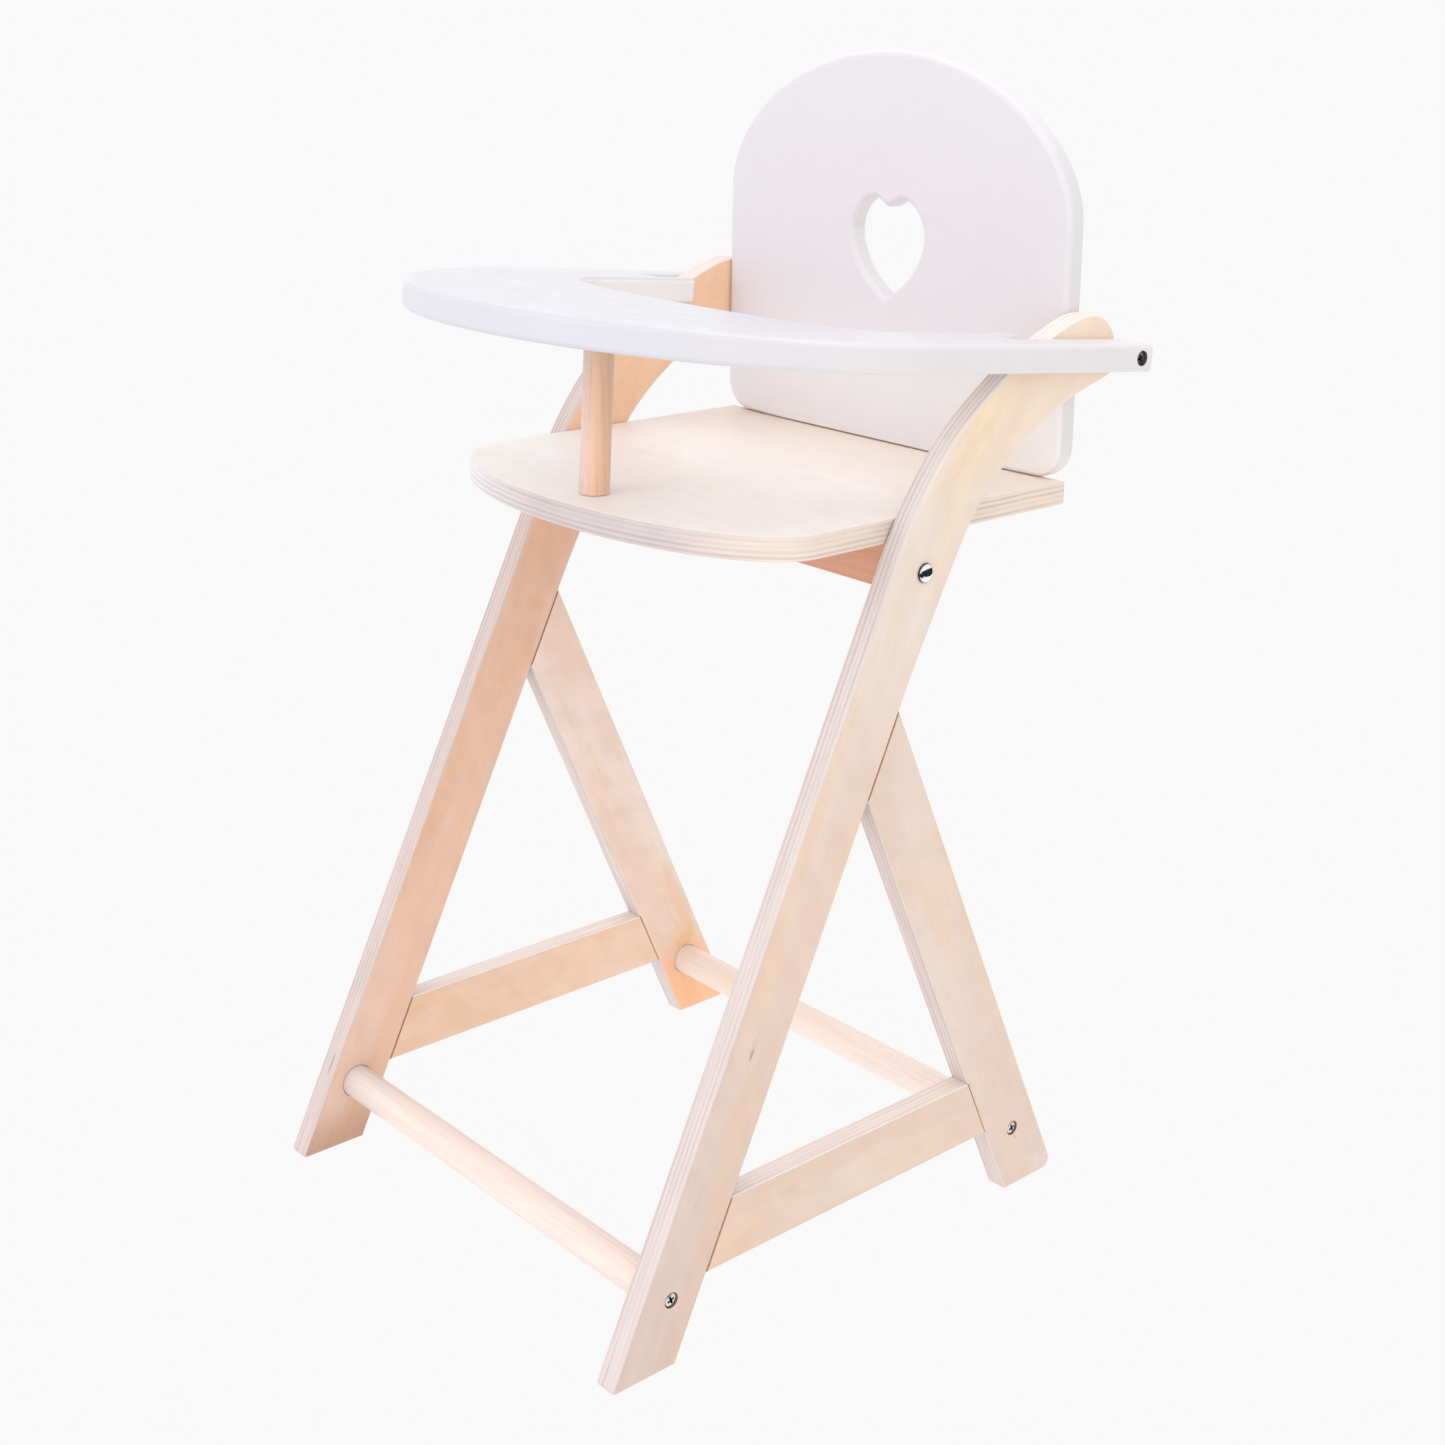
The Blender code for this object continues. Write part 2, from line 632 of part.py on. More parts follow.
# the post stands in a blind hole under the tray; its foot rests on the seat
foot = chair(0, POST_Y, SEAT_TOP + GAP)
up = Vector((0, math.sin(POST_LEAN), math.cos(POST_LEAN)))
tray_n = Vector((0, math.sin(TRAY_TILT), math.cos(TRAY_TILT)))
under_tray = chair(0, PIVOT_Y, PIVOT_Z) - tray_n * (TRAY_T / 2)
reach = (under_tray - foot).dot(tray_n) / up.dot(tray_n)
post_len = reach + POST_TENON
post = cylinder("tray_post", POST_R, post_len + 0.004, (0, 0, 0), "Z", 28)
post.matrix_world = (Matrix.Translation(foot + up * (post_len / 2 - 0.002))
                     @ up.to_track_quat("Z", "Y").to_matrix().to_4x4())
bake(post)
trim = box("post_foot_trim", (0.04, 0.04, 0.02), foot - Vector((0, 0, 0.01)), CUTTERS)
cut(post, trim)
finish(post, "beech")

for obj in (tray,):
    obj.parent = pivot
socket = cylinder("post_socket", POST_R + GAP, 0.0280, (0, 0, 0), "Z", 28, CUTTERS)
socket.matrix_world = (Matrix.Translation(foot + up * (post_len + GAP - 0.0140))
                       @ up.to_track_quat("Z", "Y").to_matrix().to_4x4()
                       @ Matrix.Rotation(math.radians(5.0), 4, "Z"))
cut(tray, socket)
bpy.context.view_layer.update()
keep = post.matrix_world.copy()
post.parent = pivot
post.matrix_world = keep

# the pivot screws turn in the outer prongs and bite in the arms
PIVOT_LEN = 0.0310
TRAY_SCREW_X = TRAY_HALF_W - 0.0003
for side, s in SIDES:
    screw(f"tray_pivot_screw_{side}", chair(s * TRAY_SCREW_X, PIVOT_Y, PIVOT_Z),
          (s, 0, 0), PIVOT_LEN, (tray, frame_parts[side][0]), 0.0012, 0.0004,
          PIVOT_HEAD_R, 0.0)
finish(tray, "white")
finish(backrest, "white")
for side, _ in SIDES:
    for piece in frame_parts[side]:
        finish(piece, "birch")
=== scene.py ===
# Looks of the wooden doll high chair: refined boards, turned pieces and screws
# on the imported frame, with procedural birch plywood, beech, white lacquer and
# plated steel, a pale floor, soft light and the camera.
import math

import bmesh
import bpy
from mathutils import Matrix, Vector


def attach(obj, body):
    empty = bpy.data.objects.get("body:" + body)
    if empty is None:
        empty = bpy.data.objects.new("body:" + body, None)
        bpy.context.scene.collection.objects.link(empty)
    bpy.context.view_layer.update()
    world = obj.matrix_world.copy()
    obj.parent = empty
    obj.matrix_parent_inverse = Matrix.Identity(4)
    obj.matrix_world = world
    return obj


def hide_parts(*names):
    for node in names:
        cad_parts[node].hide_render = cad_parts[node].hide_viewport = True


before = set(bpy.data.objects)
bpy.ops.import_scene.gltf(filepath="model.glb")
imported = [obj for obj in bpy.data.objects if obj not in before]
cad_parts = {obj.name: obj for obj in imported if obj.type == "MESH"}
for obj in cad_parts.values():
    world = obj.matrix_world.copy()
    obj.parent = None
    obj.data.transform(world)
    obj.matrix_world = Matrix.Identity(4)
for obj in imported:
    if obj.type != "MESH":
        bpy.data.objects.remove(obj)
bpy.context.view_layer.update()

# ------------------------------------------------- dimensions, as in the CAD
GAP = 0.0003
PLY = 0.012
FRAME_IN = 0.124
FRAME_OUT = FRAME_IN + PLY
TOE_R = 0.0021
BOARD_EASE = 0.0015     # rounded free edges of the side frames
SEAM = 0.00008          # glued joints of a side frame, tight behind a small groove
GROOVE = {"front_leg": (0.17, 0.17), "rear_leg": (0.17, 0.17), "side_rail": (0.17, 0.17)}

SEAT_TOP = 0.369
SEAT_T = 0.0115
SEAT_HALF_W = FRAME_IN - 0.0005
SEAT_FRONT = 0.0732
SEAT_ARC_Y = 0.1262
SEAT_REAR = 0.2950

BACK_FRONT = 0.2897
BACK_T = 0.0115
BACK_HALF_W = FRAME_IN - 0.0004
BACK_H = 0.2052
BACK_ARC_H = 0.1258
BACK_POWER = 1.93
BACK_CORNER_R = 0.0165
BACK_ROUND = 0.0034

HEART_W = 0.0511
HEART_TOP = 0.1288
HEART_WIDE = 0.1111
HEART_TIP = 0.0764
HEART_NOTCH = 0.0042

TRAY_T = 0.0138
TRAY_TILT = math.radians(5.4)
PIVOT_Y, PIVOT_Z = 0.3057, 0.43446
TRAY_HALF_W = 0.1585
TRAY_WAIST = 0.1554
TRAY_ARC = -0.1463
TRAY_FRONT = -0.2817
TRAY_END = 0.0072
TRAY_ROUND = 0.0026
CUT_HALF_W = 0.1120
CUT_ARC = -0.1165
CUT_FRONT = -0.1589
CUT_POWER = 2.45
PRONG_END = -0.0505
SLOT_END = -0.0683
SLOT_CLEAR = 0.0006

POST_R = 0.00735
POST_Y = 0.0968
POST_LEAN = math.radians(2.4)
POST_TENON = 0.0065

DOWEL_R = 0.0085
DOWEL_LET_IN = 0.0020
DOWEL_FRONT = (0.0343, 0.0336)
DOWEL_REAR = (0.2630, 0.0336)

RAIL_BOTTOM, RAIL_TOP = 0.0385, 0.0705

CROSS_Y, CROSS_D = 0.1826, 0.0210
CROSS_H = 0.0221
BOLT_Z = 0.3443

HEAD_R = 0.00305
HEAD_DEPTH = 0.0021
SHANK_R = 0.0017
PIVOT_HEAD_R = 0.0034
BOLT_R = 0.0030
DOME_R, DOME_H = 0.0047, 0.0014
PIVOT_LEN = 0.0310
TRAY_SCREW_X = TRAY_HALF_W - 0.0003

SIDES = (("left", 1.0), ("right", -1.0))


# ------------------------------------------------------------ outline drawing
def fillet(points, fine=7.5):
    out = []
    n = len(points)
    for i, (px, py, r) in enumerate(points):
        here = Vector((px, py))
        if r <= 0:
            out.append(here)
            continue
        a = Vector(points[i - 1][:2]) - here
        b = Vector(points[(i + 1) % n][:2]) - here
        a.normalize()
        b.normalize()
        half = math.acos(max(-1.0, min(1.0, a.dot(b)))) / 2
        reach = r / math.tan(half)
        mid = (a + b).normalized()
        centre = here + mid * (r / math.sin(half))
        start = here + a * reach - centre
        end = here + b * reach - centre
        turn = start.angle_signed(end)
        steps = max(3, int(abs(turn) / math.radians(fine)) + 1)
        for k in range(steps + 1):
            ang = -turn * k / steps
            c, s = math.cos(ang), math.sin(ang)
            out.append(centre + Vector((start.x * c - start.y * s,
                                        start.x * s + start.y * c)))
    return out


def through(keys, steps):
    out = []
    for (x0, y0, a0), (x1, y1, a1) in zip(keys, keys[1:]):
        p0, p1 = Vector((x0, y0)), Vector((x1, y1))
        size = (p1 - p0).length
        t0 = Vector((math.cos(math.radians(a0)), math.sin(math.radians(a0)))) * size
        t1 = Vector((math.cos(math.radians(a1)), math.sin(math.radians(a1)))) * size
        for k in range(steps):
            t = k / steps
            out.append(p0 * (2 * t**3 - 3 * t**2 + 1) + t0 * (t**3 - 2 * t**2 + t)
                       + p1 * (3 * t**2 - 2 * t**3) + t1 * (t**3 - t**2))
    out.append(Vector(keys[-1][:2]))
    return out


def arch(half_w, depth, power, steps):
    fine = 2880
    line = []
    for k in range(fine + 1):
        a = -math.pi / 2 + math.pi * k / fine
        x = math.copysign(abs(math.sin(a)) ** (2 / power), math.sin(a)) * half_w
        line.append(Vector((x, abs(math.cos(a)) ** (2 / power) * depth)))
    run = [0.0]
    for p, q in zip(line, line[1:]):
        run.append(run[-1] + (q - p).length)
    out, j = [], 0
    for k in range(steps + 1):
        want = run[-1] * k / steps
        while j < fine - 1 and run[j + 1] < want:
            j += 1
        t = (want - run[j]) / (run[j + 1] - run[j])
        out.append(line[j].lerp(line[j + 1], min(1.0, max(0.0, t))))
    return out


LEG_SLOPE = (0.1690 - 0.0370) / 0.2805
REAR_SLOPE = -0.456
SEAM_TOP_Z, SEAM_LOW_Z = 0.2805, 0.2405


def rear_edge(z):
    return 0.0370 + LEG_SLOPE * z


def front_leg_outline(steps):
    top = through([(0.1650, 0.3530, 65.0), (0.1965, 0.4005, 48.0),
                   (0.2320, 0.4290, 34.0), (0.2690, 0.4477, 22.0),
                   (0.2930, 0.4540, 0.0), (0.3065, 0.4498, -40.0),
                   (0.3130, 0.4380, -90.0)], steps)
    under = through([(0.3090, 0.4223, 196.5), (0.2650, 0.4074, 207.0),
                     (0.2225, 0.3750, 228.0), (0.2060, 0.3515, 242.0),
                     (0.1690, 0.2805, 244.8)], steps)
    toe = fillet([(rear_edge(0.10), 0.10, 0), (0.0370, 0.0, 0),
                  (0.00002, 0.0, TOE_R), (0.0467, 0.10, 0)])
    heel = fillet([(0.3130, 0.4380, 0), (0.3130, 0.4240, 0.0030),
                   (0.3000, 0.4201, 0)])
    seam = [Vector((rear_edge(z), z)) for z in (SEAM_LOW_Z, RAIL_TOP, RAIL_BOTTOM)]
    return top[:-1] + heel[:-1] + under[1:] + seam + toe[1:-1]


def rear_leg_outline():
    gap = SEAM
    top_z, low_z = SEAM_TOP_Z, SEAM_LOW_Z
    return fillet([
        (rear_edge(top_z) + gap, top_z, 0),
        (rear_edge(low_z) + gap, low_z, 0),
        (rear_leg_front(RAIL_TOP), RAIL_TOP, 0),
        (rear_leg_front(RAIL_BOTTOM), RAIL_BOTTOM, 0),
        (0.2598, 0.0, 0),
        (rear_edge(top_z) + GAP * 1.15 - REAR_SLOPE * top_z, 0.0, 0.0050)])


def rear_leg_front(z):
    y0 = rear_edge(SEAM_LOW_Z) + GAP * 1.15
    return y0 + (0.2598 - y0) * (SEAM_LOW_Z - z) / SEAM_LOW_Z


def side_rail_outline():
    gap = SEAM
    return fillet([
        (rear_edge(RAIL_BOTTOM) + gap, RAIL_BOTTOM, 0),
        (rear_leg_front(RAIL_BOTTOM) - SEAM, RAIL_BOTTOM, 0),
        (rear_leg_front(RAIL_TOP) - SEAM, RAIL_TOP, 0),
        (rear_edge(RAIL_TOP) + gap, RAIL_TOP, 0)])


# the CAD centres the chair front to back between its toes and the tray's tips
Y_SHIFT = -0.15736770022659322


def on_front(z):
    return Vector((rear_edge(z), z))


def on_rear(z):
    return Vector((rear_leg_front(z), z))


def along_seam(make, gap, ends):
    return [Vector((make(z).x + gap, z)) for z in ends]


MITRE, RAIL_Z = (SEAM_LOW_Z, SEAM_TOP_Z), (RAIL_BOTTOM, RAIL_TOP)
SEAMS = {
    "front_leg": [along_seam(on_front, 0.0, MITRE), along_seam(on_front, 0.0, RAIL_Z)],
    "rear_leg": [along_seam(on_front, SEAM, MITRE), along_seam(on_rear, 0.0, RAIL_Z)],
    "side_rail": [along_seam(on_front, SEAM, RAIL_Z), along_seam(on_rear, -SEAM, RAIL_Z)],
}


def on_joint(points, seams, slack=0.0001):
    """True when all (y, z) points lie on one of the straight joints."""
    for p, q in seams:
        d = (q - p).normalized()
        far = [abs(d.cross(v - p)) for v in points]
        run = [d.dot(v - p) / (q - p).length for v in points]
        if max(far) < slack and min(run) > -0.01 and max(run) < 1.01:
            return True
    return False


def chair(x, y, z):
    return Vector((x, y + Y_SHIFT, z))


# ------------------------------------------------------------- node materials
class Nodes:
    """Small helper to write a node material as nested calls."""

    def __init__(self, name):
        self.mat = bpy.data.materials.new(name)
        self.mat.use_nodes = True
        self.tree = self.mat.node_tree
        self.tree.nodes.clear()
        self.out = self.tree.nodes.new("ShaderNodeOutputMaterial")
        self.bsdf = self.tree.nodes.new("ShaderNodeBsdfPrincipled")
        self.link(self.bsdf.outputs[0], self.out.inputs["Surface"])
        self.place = self.tree.nodes.new("ShaderNodeTexCoord").outputs["Object"]
        self.facing = self.tree.nodes.new("ShaderNodeNewGeometry").outputs["Normal"]

    def link(self, a, b):
        self.tree.links.new(a, b)

    def put(self, socket, value):
        if isinstance(value, bpy.types.NodeSocket):
            self.link(value, socket)
        elif value is not None:
            socket.default_value = value

    def math(self, op, a, b=None, c=None, clamp=False):
        node = self.tree.nodes.new("ShaderNodeMath")
        node.operation = op
        node.use_clamp = clamp
        for socket, value in zip(node.inputs, (a, b, c)):
            self.put(socket, value)
        return node.outputs[0]

    def vmath(self, op, a, b=None, scale=None):
        node = self.tree.nodes.new("ShaderNodeVectorMath")
        node.operation = op
        self.put(node.inputs[0], a)
        if b is not None:
            self.put(node.inputs[1], b)
        if scale is not None:
            self.put(node.inputs["Scale"], scale)
        return node.outputs["Value"] if op in ("DOT_PRODUCT", "LENGTH", "DISTANCE") \
            else node.outputs["Vector"]

    def comb(self, x, y, z):
        node = self.tree.nodes.new("ShaderNodeCombineXYZ")
        for socket, value in zip(node.inputs, (x, y, z)):
            self.put(socket, value)
        return node.outputs[0]

    def noise(self, vector, scale=1.0, detail=2.0, rough=0.5, warp=0.0):
        node = self.tree.nodes.new("ShaderNodeTexNoise")
        self.put(node.inputs["Vector"], vector)
        node.inputs["Scale"].default_value = scale
        node.inputs["Detail"].default_value = detail
        node.inputs["Roughness"].default_value = rough
        node.inputs["Distortion"].default_value = warp
        return node.outputs["Fac"]

    def cells(self, vector, scale=1.0, spread=1.0, output="Distance"):
        node = self.tree.nodes.new("ShaderNodeTexVoronoi")
        self.put(node.inputs["Vector"], vector)
        node.inputs["Scale"].default_value = scale
        node.inputs["Randomness"].default_value = spread
        return node.outputs[output]

    def ramp(self, fac, stops, smooth=False):
        node = self.tree.nodes.new("ShaderNodeValToRGB")
        node.color_ramp.interpolation = "EASE" if smooth else "LINEAR"
        items = node.color_ramp.elements
        while len(items) < len(stops):
            items.new(0.5)
        for item, (at, colour) in zip(items, stops):
            item.position = at
            if isinstance(colour, (int, float)):
                colour = (colour, colour, colour)
            item.color = (*colour, 1.0)
        self.put(node.inputs[0], fac)
        return node.outputs["Color"]

    def step(self, fac, low, high, a=0.0, b=1.0):
        node = self.tree.nodes.new("ShaderNodeMapRange")
        node.interpolation_type = "SMOOTHSTEP"
        self.put(node.inputs["Value"], fac)
        for key, value in (("From Min", low), ("From Max", high), ("To Min", a),
                           ("To Max", b)):
            self.put(node.inputs[key], value)
        return node.outputs["Result"]

    def mix(self, fac, a, b, mode="MIX"):
        node = self.tree.nodes.new("ShaderNodeMix")
        node.data_type = "RGBA"
        node.blend_type = mode
        self.put(node.inputs[0], fac)
        for socket, value in ((node.inputs[6], a), (node.inputs[7], b)):
            if isinstance(value, (int, float)):
                value = (value, value, value)
            if isinstance(value, tuple) and len(value) == 3:
                value = (*value, 1.0)
            self.put(socket, value)
        return node.outputs[2]

    def bump(self, height, depth, strength=1.0, normal=None):
        node = self.tree.nodes.new("ShaderNodeBump")
        node.inputs["Strength"].default_value = strength
        node.inputs["Distance"].default_value = depth
        self.put(node.inputs["Height"], height)
        if normal is not None:
            self.put(node.inputs["Normal"], normal)
        return node.outputs[0]

    def done(self, colour, rough, normal=None, metal=0.0, coat=0.0, coat_rough=0.2,
             specular=0.5):
        b = self.bsdf
        self.put(b.inputs["Base Color"], colour)
        self.put(b.inputs["Roughness"], rough)
        b.inputs["Metallic"].default_value = metal
        b.inputs["Specular IOR Level"].default_value = specular
        b.inputs["Coat Weight"].default_value = coat
        b.inputs["Coat Roughness"].default_value = coat_rough
        if normal is not None:
            self.put(b.inputs["Normal"], normal)
        return self.mat


def drifts(n, colour, tones):
    """Slow tone changes over a piece, several of them painted light and shade; each one runs along an axis
    from `low` to `high` metres and multiplies the colour by its first or its second tint."""
    for axis, low, high, first, second in tones:
        run = n.vmath("DOT_PRODUCT", n.place, tuple(axis))
        tint = n.mix(n.step(run, low, high), first, second)
        colour = n.mix(1.0, colour, tint, "MULTIPLY")
    return colour


def grain_frame(n, along, across, shift):
    """Coordinates (along, across, through) of a board, in metres."""
    u = n.vmath("DOT_PRODUCT", n.place, along)
    v = n.vmath("DOT_PRODUCT", n.place, across)
    through_ = Vector(along).cross(Vector(across))
    w = n.vmath("DOT_PRODUCT", n.place, tuple(through_))
    return (n.math("ADD", u, shift), n.math("ADD", v, shift * 0.37), w)


def spot(n, centre, along, half_len, half_wide):
    """1 inside a small spindle-shaped mark, 0 outside."""
    offset = n.vmath("SUBTRACT", n.place, centre)
    a = Vector(along).normalized()
    run = n.vmath("DOT_PRODUCT", offset, tuple(a))
    far2 = n.math("POWER", n.vmath("LENGTH", offset), 2.0)
    run2 = n.math("MULTIPLY", run, run)
    side2 = n.math("MAXIMUM", n.math("SUBTRACT", far2, run2), 0.0)
    wob = n.noise(n.place, 900.0, 2.0, 0.6)
    e = n.math("ADD", n.math("DIVIDE", run2, half_len * half_len),
               n.math("DIVIDE", side2, half_wide * half_wide))
    e = n.math("ADD", e, n.math("MULTIPLY", n.math("SUBTRACT", wob, 0.5), 0.9))
    return n.step(e, 0.45, 1.15, 1.0, 0.0)


def birch_face(name, along, across, base, warm, pale, shift, amber=0.5, marks=(),
               dark=(0.30, 0.12, 0.05), tones=(), figure=1.0):
    """Rotary-cut birch veneer under a thin clear lacquer."""
    n = Nodes(name)
    u, v, w = grain_frame(n, along, across, shift)
    bend = n.math("MULTIPLY", n.math("SUBTRACT", n.noise(
        n.comb(n.math("MULTIPLY", u, 6.0), n.math("MULTIPLY", v, 14.0), w), 1.0, 2.0), 0.5), 0.010)
    vb = n.math("ADD", v, bend)
    broad = n.noise(n.comb(n.math("MULTIPLY", u, 5.5), n.math("MULTIPLY", vb, 42.0), w), 1.0, 2.5, 0.55)
    streak = n.noise(n.comb(n.math("MULTIPLY", u, 16.0), n.math("MULTIPLY", vb, 620.0), w), 1.0, 4.0, 0.62)
    fibre = n.noise(n.comb(n.math("MULTIPLY", u, 110.0), n.math("MULTIPLY", vb, 2600.0), w), 1.0, 3.0, 0.6)
    curl = n.noise(n.comb(n.math("ADD", n.math("MULTIPLY", u, 62.0), n.math("MULTIPLY", vb, 38.0)),
                          n.math("MULTIPLY", vb, 40.0), w), 1.0, 2.0, 0.5, 0.3)
    colour = n.mix(n.step(broad, 0.36, 0.66), base, pale)
    amber_at = n.noise(n.comb(n.math("MULTIPLY", u, 9.0), n.math("MULTIPLY", vb, 55.0), 4.2), 1.0, 2.0, 0.5)
    colour = n.mix(n.math("MULTIPLY", n.step(amber_at, 0.50, 0.74), amber), colour, warm)
    colour = n.mix(figure, colour, n.mix(1.0, colour, n.ramp(curl, [(0.30, (0.968, 0.960, 0.945)), (0.62, (1.016, 1.018, 1.020))]), "MULTIPLY"))
    cloud = n.noise(n.comb(n.math("MULTIPLY", u, 48.0), n.math("MULTIPLY", vb, 95.0), w), 1.0, 2.5, 0.55, 0.6)
    colour = n.mix(figure, colour, n.mix(1.0, colour, n.ramp(cloud, [(0.32, (0.985, 0.962, 0.925)), (0.50, (1.0, 1.0, 1.0)), (0.68, (1.012, 1.020, 1.030))]), "MULTIPLY"))
    colour = n.mix(1.0, colour, n.ramp(streak, [(0.28, (0.970, 0.964, 0.955)), (0.50, (1.0, 1.0, 1.0)), (0.75, (1.010, 1.008, 1.006))]), "MULTIPLY")
    colour = n.mix(1.0, colour, n.ramp(fibre, [(0.30, (0.982, 0.978, 0.972)), (0.60, (1.005, 1.005, 1.005))]), "MULTIPLY")
    # sparse pith flecks along the grain
    fleck = n.cells(n.comb(n.math("MULTIPLY", u, 85.0), n.math("MULTIPLY", vb, 900.0), n.math("MULTIPLY", w, 60.0)), 1.0, 1.0)
    rare = n.noise(n.comb(n.math("MULTIPLY", u, 30.0), n.math("MULTIPLY", v, 60.0), 9.0), 1.0, 1.0)
    fleck = n.math("MULTIPLY", n.step(fleck, 0.05, 0.17, 1.0, 0.0), n.step(rare, 0.55, 0.68))
    colour = n.mix(n.math("MULTIPLY", fleck, 0.30), colour, dark)
    colour = drifts(n, colour, tones)
    for centre, direction, half_len, half_wide, amount, tint in marks:
        colour = n.mix(n.math("MULTIPLY", spot(n, centre, direction, half_len, half_wide), amount), colour, tint)
    rough = n.step(streak, 0.25, 0.75, 0.56, 0.44)
    height = n.math("ADD", n.math("MULTIPLY", streak, 0.7), n.math("MULTIPLY", fibre, 0.3))
    return n.done(colour, rough, n.bump(height, 0.00012, 0.35), coat=0.35, coat_rough=0.35, specular=0.5)


def ply_edge(name, through_axis, centre, thick, light, dark, glue, shift, plies=9,
             marks=(), sheen=0.25, tones=(), first=0.0):
    """Sawn and sanded plywood edge: long-grain plies alternate with end grain,
    softly and unevenly; each ply has its own strength and wanders a little."""
    n = Nodes(name)
    axis = Vector(through_axis)
    t = n.vmath("DOT_PRODUCT", n.vmath("SUBTRACT", n.place, centre), through_axis)
    wave = n.math("MULTIPLY", n.math("SUBTRACT", n.noise(n.place, 24.0 + shift, 2.0, 0.5), 0.5), 0.00075)
    wave2 = n.math("MULTIPLY", n.math("SUBTRACT", n.noise(n.place, 150.0, 2.0, 0.5), 0.5), 0.00022)
    t = n.math("ADD", t, n.math("ADD", wave, wave2))
    turns = n.math("MULTIPLY", n.math("DIVIDE", n.math("ADD", t, thick / 2), thick), float(plies))
    turns = n.math("ADD", turns, first)
    # anisotropic place: fine through the thickness, long along the edge
    tt = n.vmath("DOT_PRODUCT", n.place, tuple(axis))
    flat = n.vmath("SUBTRACT", n.place, n.vmath("SCALE", tuple(axis), None, tt))
    long_place = n.vmath("ADD", n.vmath("SCALE", flat, None, 55.0),
                         n.vmath("SCALE", tuple(axis), None, n.math("MULTIPLY", tt, 3600.0)))
    # how strong each ply and each glue line is, changing slowly along the edge
    sheet = n.math("FLOOR", n.math("MULTIPLY", turns, 0.5))
    own = n.noise(n.vmath("ADD", n.vmath("SCALE", flat, None, 9.0),
                          n.vmath("SCALE", tuple(axis), None, n.math("MULTIPLY", sheet, 3.71))), 1.0, 1.0, 0.5)
    own = n.step(own, 0.33, 0.66, 0.30, 1.0)
    lap = n.math("FLOOR", n.math("ADD", turns, 0.5))
    own_line = n.noise(n.vmath("ADD", n.vmath("SCALE", flat, None, 13.0),
                               n.vmath("SCALE", tuple(axis), None, n.math("MULTIPLY", lap, 5.37))), 1.0, 1.0, 0.5)
    own_line = n.step(own_line, 0.46, 0.68, 0.05, 1.0)
    frac2 = n.math("FRACT", n.math("MULTIPLY", turns, 0.5))   # 0-0.5 long grain, 0.5-1 end grain
    end = n.math("MULTIPLY", n.step(frac2, 0.40, 0.60), n.step(frac2, 0.86, 1.0, 1.0, 0.0))
    end = n.math("MULTIPLY", end, own)
    line = n.math("ABSOLUTE", n.math("SUBTRACT", n.math("FRACT", turns), 0.5))
    line = n.math("MULTIPLY", n.step(line, 0.36, 0.50), own_line)
    fibre = n.noise(long_place, 1.0, 3.0, 0.6)
    speck = n.noise(n.place, 1500.0, 2.0, 0.6)
    patch = n.noise(n.vmath("ADD", n.vmath("SCALE", flat, None, 26.0),
                            n.vmath("SCALE", tuple(axis), None, n.math("MULTIPLY", tt, 260.0))), 1.0, 2.0, 0.5)
    c_light = n.mix(1.0, light, n.ramp(fibre, [(0.30, (0.955, 0.945, 0.94)), (0.60, (1.015, 1.015, 1.015))]), "MULTIPLY")
    c_dark = n.mix(1.0, dark, n.ramp(speck, [(0.30, (0.93, 0.92, 0.91)), (0.62, (1.03, 1.03, 1.03))]), "MULTIPLY")
    colour = n.mix(end, c_light, c_dark)
    colour = n.mix(n.math("MULTIPLY", line, 0.35), colour, glue)
    colour = n.mix(1.0, colour, n.ramp(patch, [(0.32, (0.960, 0.950, 0.945)), (0.62, (1.02, 1.02, 1.02))]), "MULTIPLY")
    colour = drifts(n, colour, tones)
    for at, direction, half_len, half_wide, amount, tint in marks:
        colour = n.mix(n.math("MULTIPLY", spot(n, at, direction, half_len, half_wide), amount), colour, tint)
    height = n.math("ADD", n.math("MULTIPLY", end, -0.4), n.math("MULTIPLY", speck, 0.3))
    return n.done(colour, n.step(speck, 0.3, 0.7, 0.55, 0.68), n.bump(height, 0.00008, 0.3),
                  specular=sheen)


def beech(name, along, across, base, warm, deep, shift, flecks=0.35, sheen=0.5, tones=()):
    """Turned or planed beech: straight grain with short ray flecks."""
    n = Nodes(name)
    u, v, w = grain_frame(n, along, across, shift)
    place = lambda a, b: n.comb(n.math("MULTIPLY", u, a), n.math("MULTIPLY", v, b), n.math("MULTIPLY", w, b))
    broad = n.noise(place(5.0, 95.0), 1.0, 2.0, 0.5)
    streak = n.noise(place(14.0, 800.0), 1.0, 4.0, 0.62)
    fibre = n.noise(place(130.0, 3000.0), 1.0, 2.0, 0.6)
    colour = n.mix(n.step(broad, 0.36, 0.66), base, warm)
    colour = n.mix(1.0, colour, n.ramp(streak, [(0.28, (0.90, 0.875, 0.855)), (0.52, (1.0, 1.0, 1.0)), (0.78, (1.03, 1.022, 1.015))]), "MULTIPLY")
    colour = n.mix(1.0, colour, n.ramp(fibre, [(0.30, (0.955, 0.945, 0.94)), (0.60, (1.01, 1.01, 1.01))]), "MULTIPLY")
    ray = n.cells(place(330.0, 1900.0), 1.0, 1.0)
    ray = n.step(ray, 0.07, 0.26, 1.0, 0.0)
    colour = n.mix(n.math("MULTIPLY", ray, flecks), colour, deep)
    colour = drifts(n, colour, tones)
    height = n.math("ADD", n.math("MULTIPLY", streak, 0.6), n.math("MULTIPLY", ray, -0.4))
    return n.done(colour, n.step(streak, 0.25, 0.75, 0.52, 0.40), n.bump(height, 0.00012, 0.35),
                  coat=0.35, coat_rough=0.3, specular=sheen)


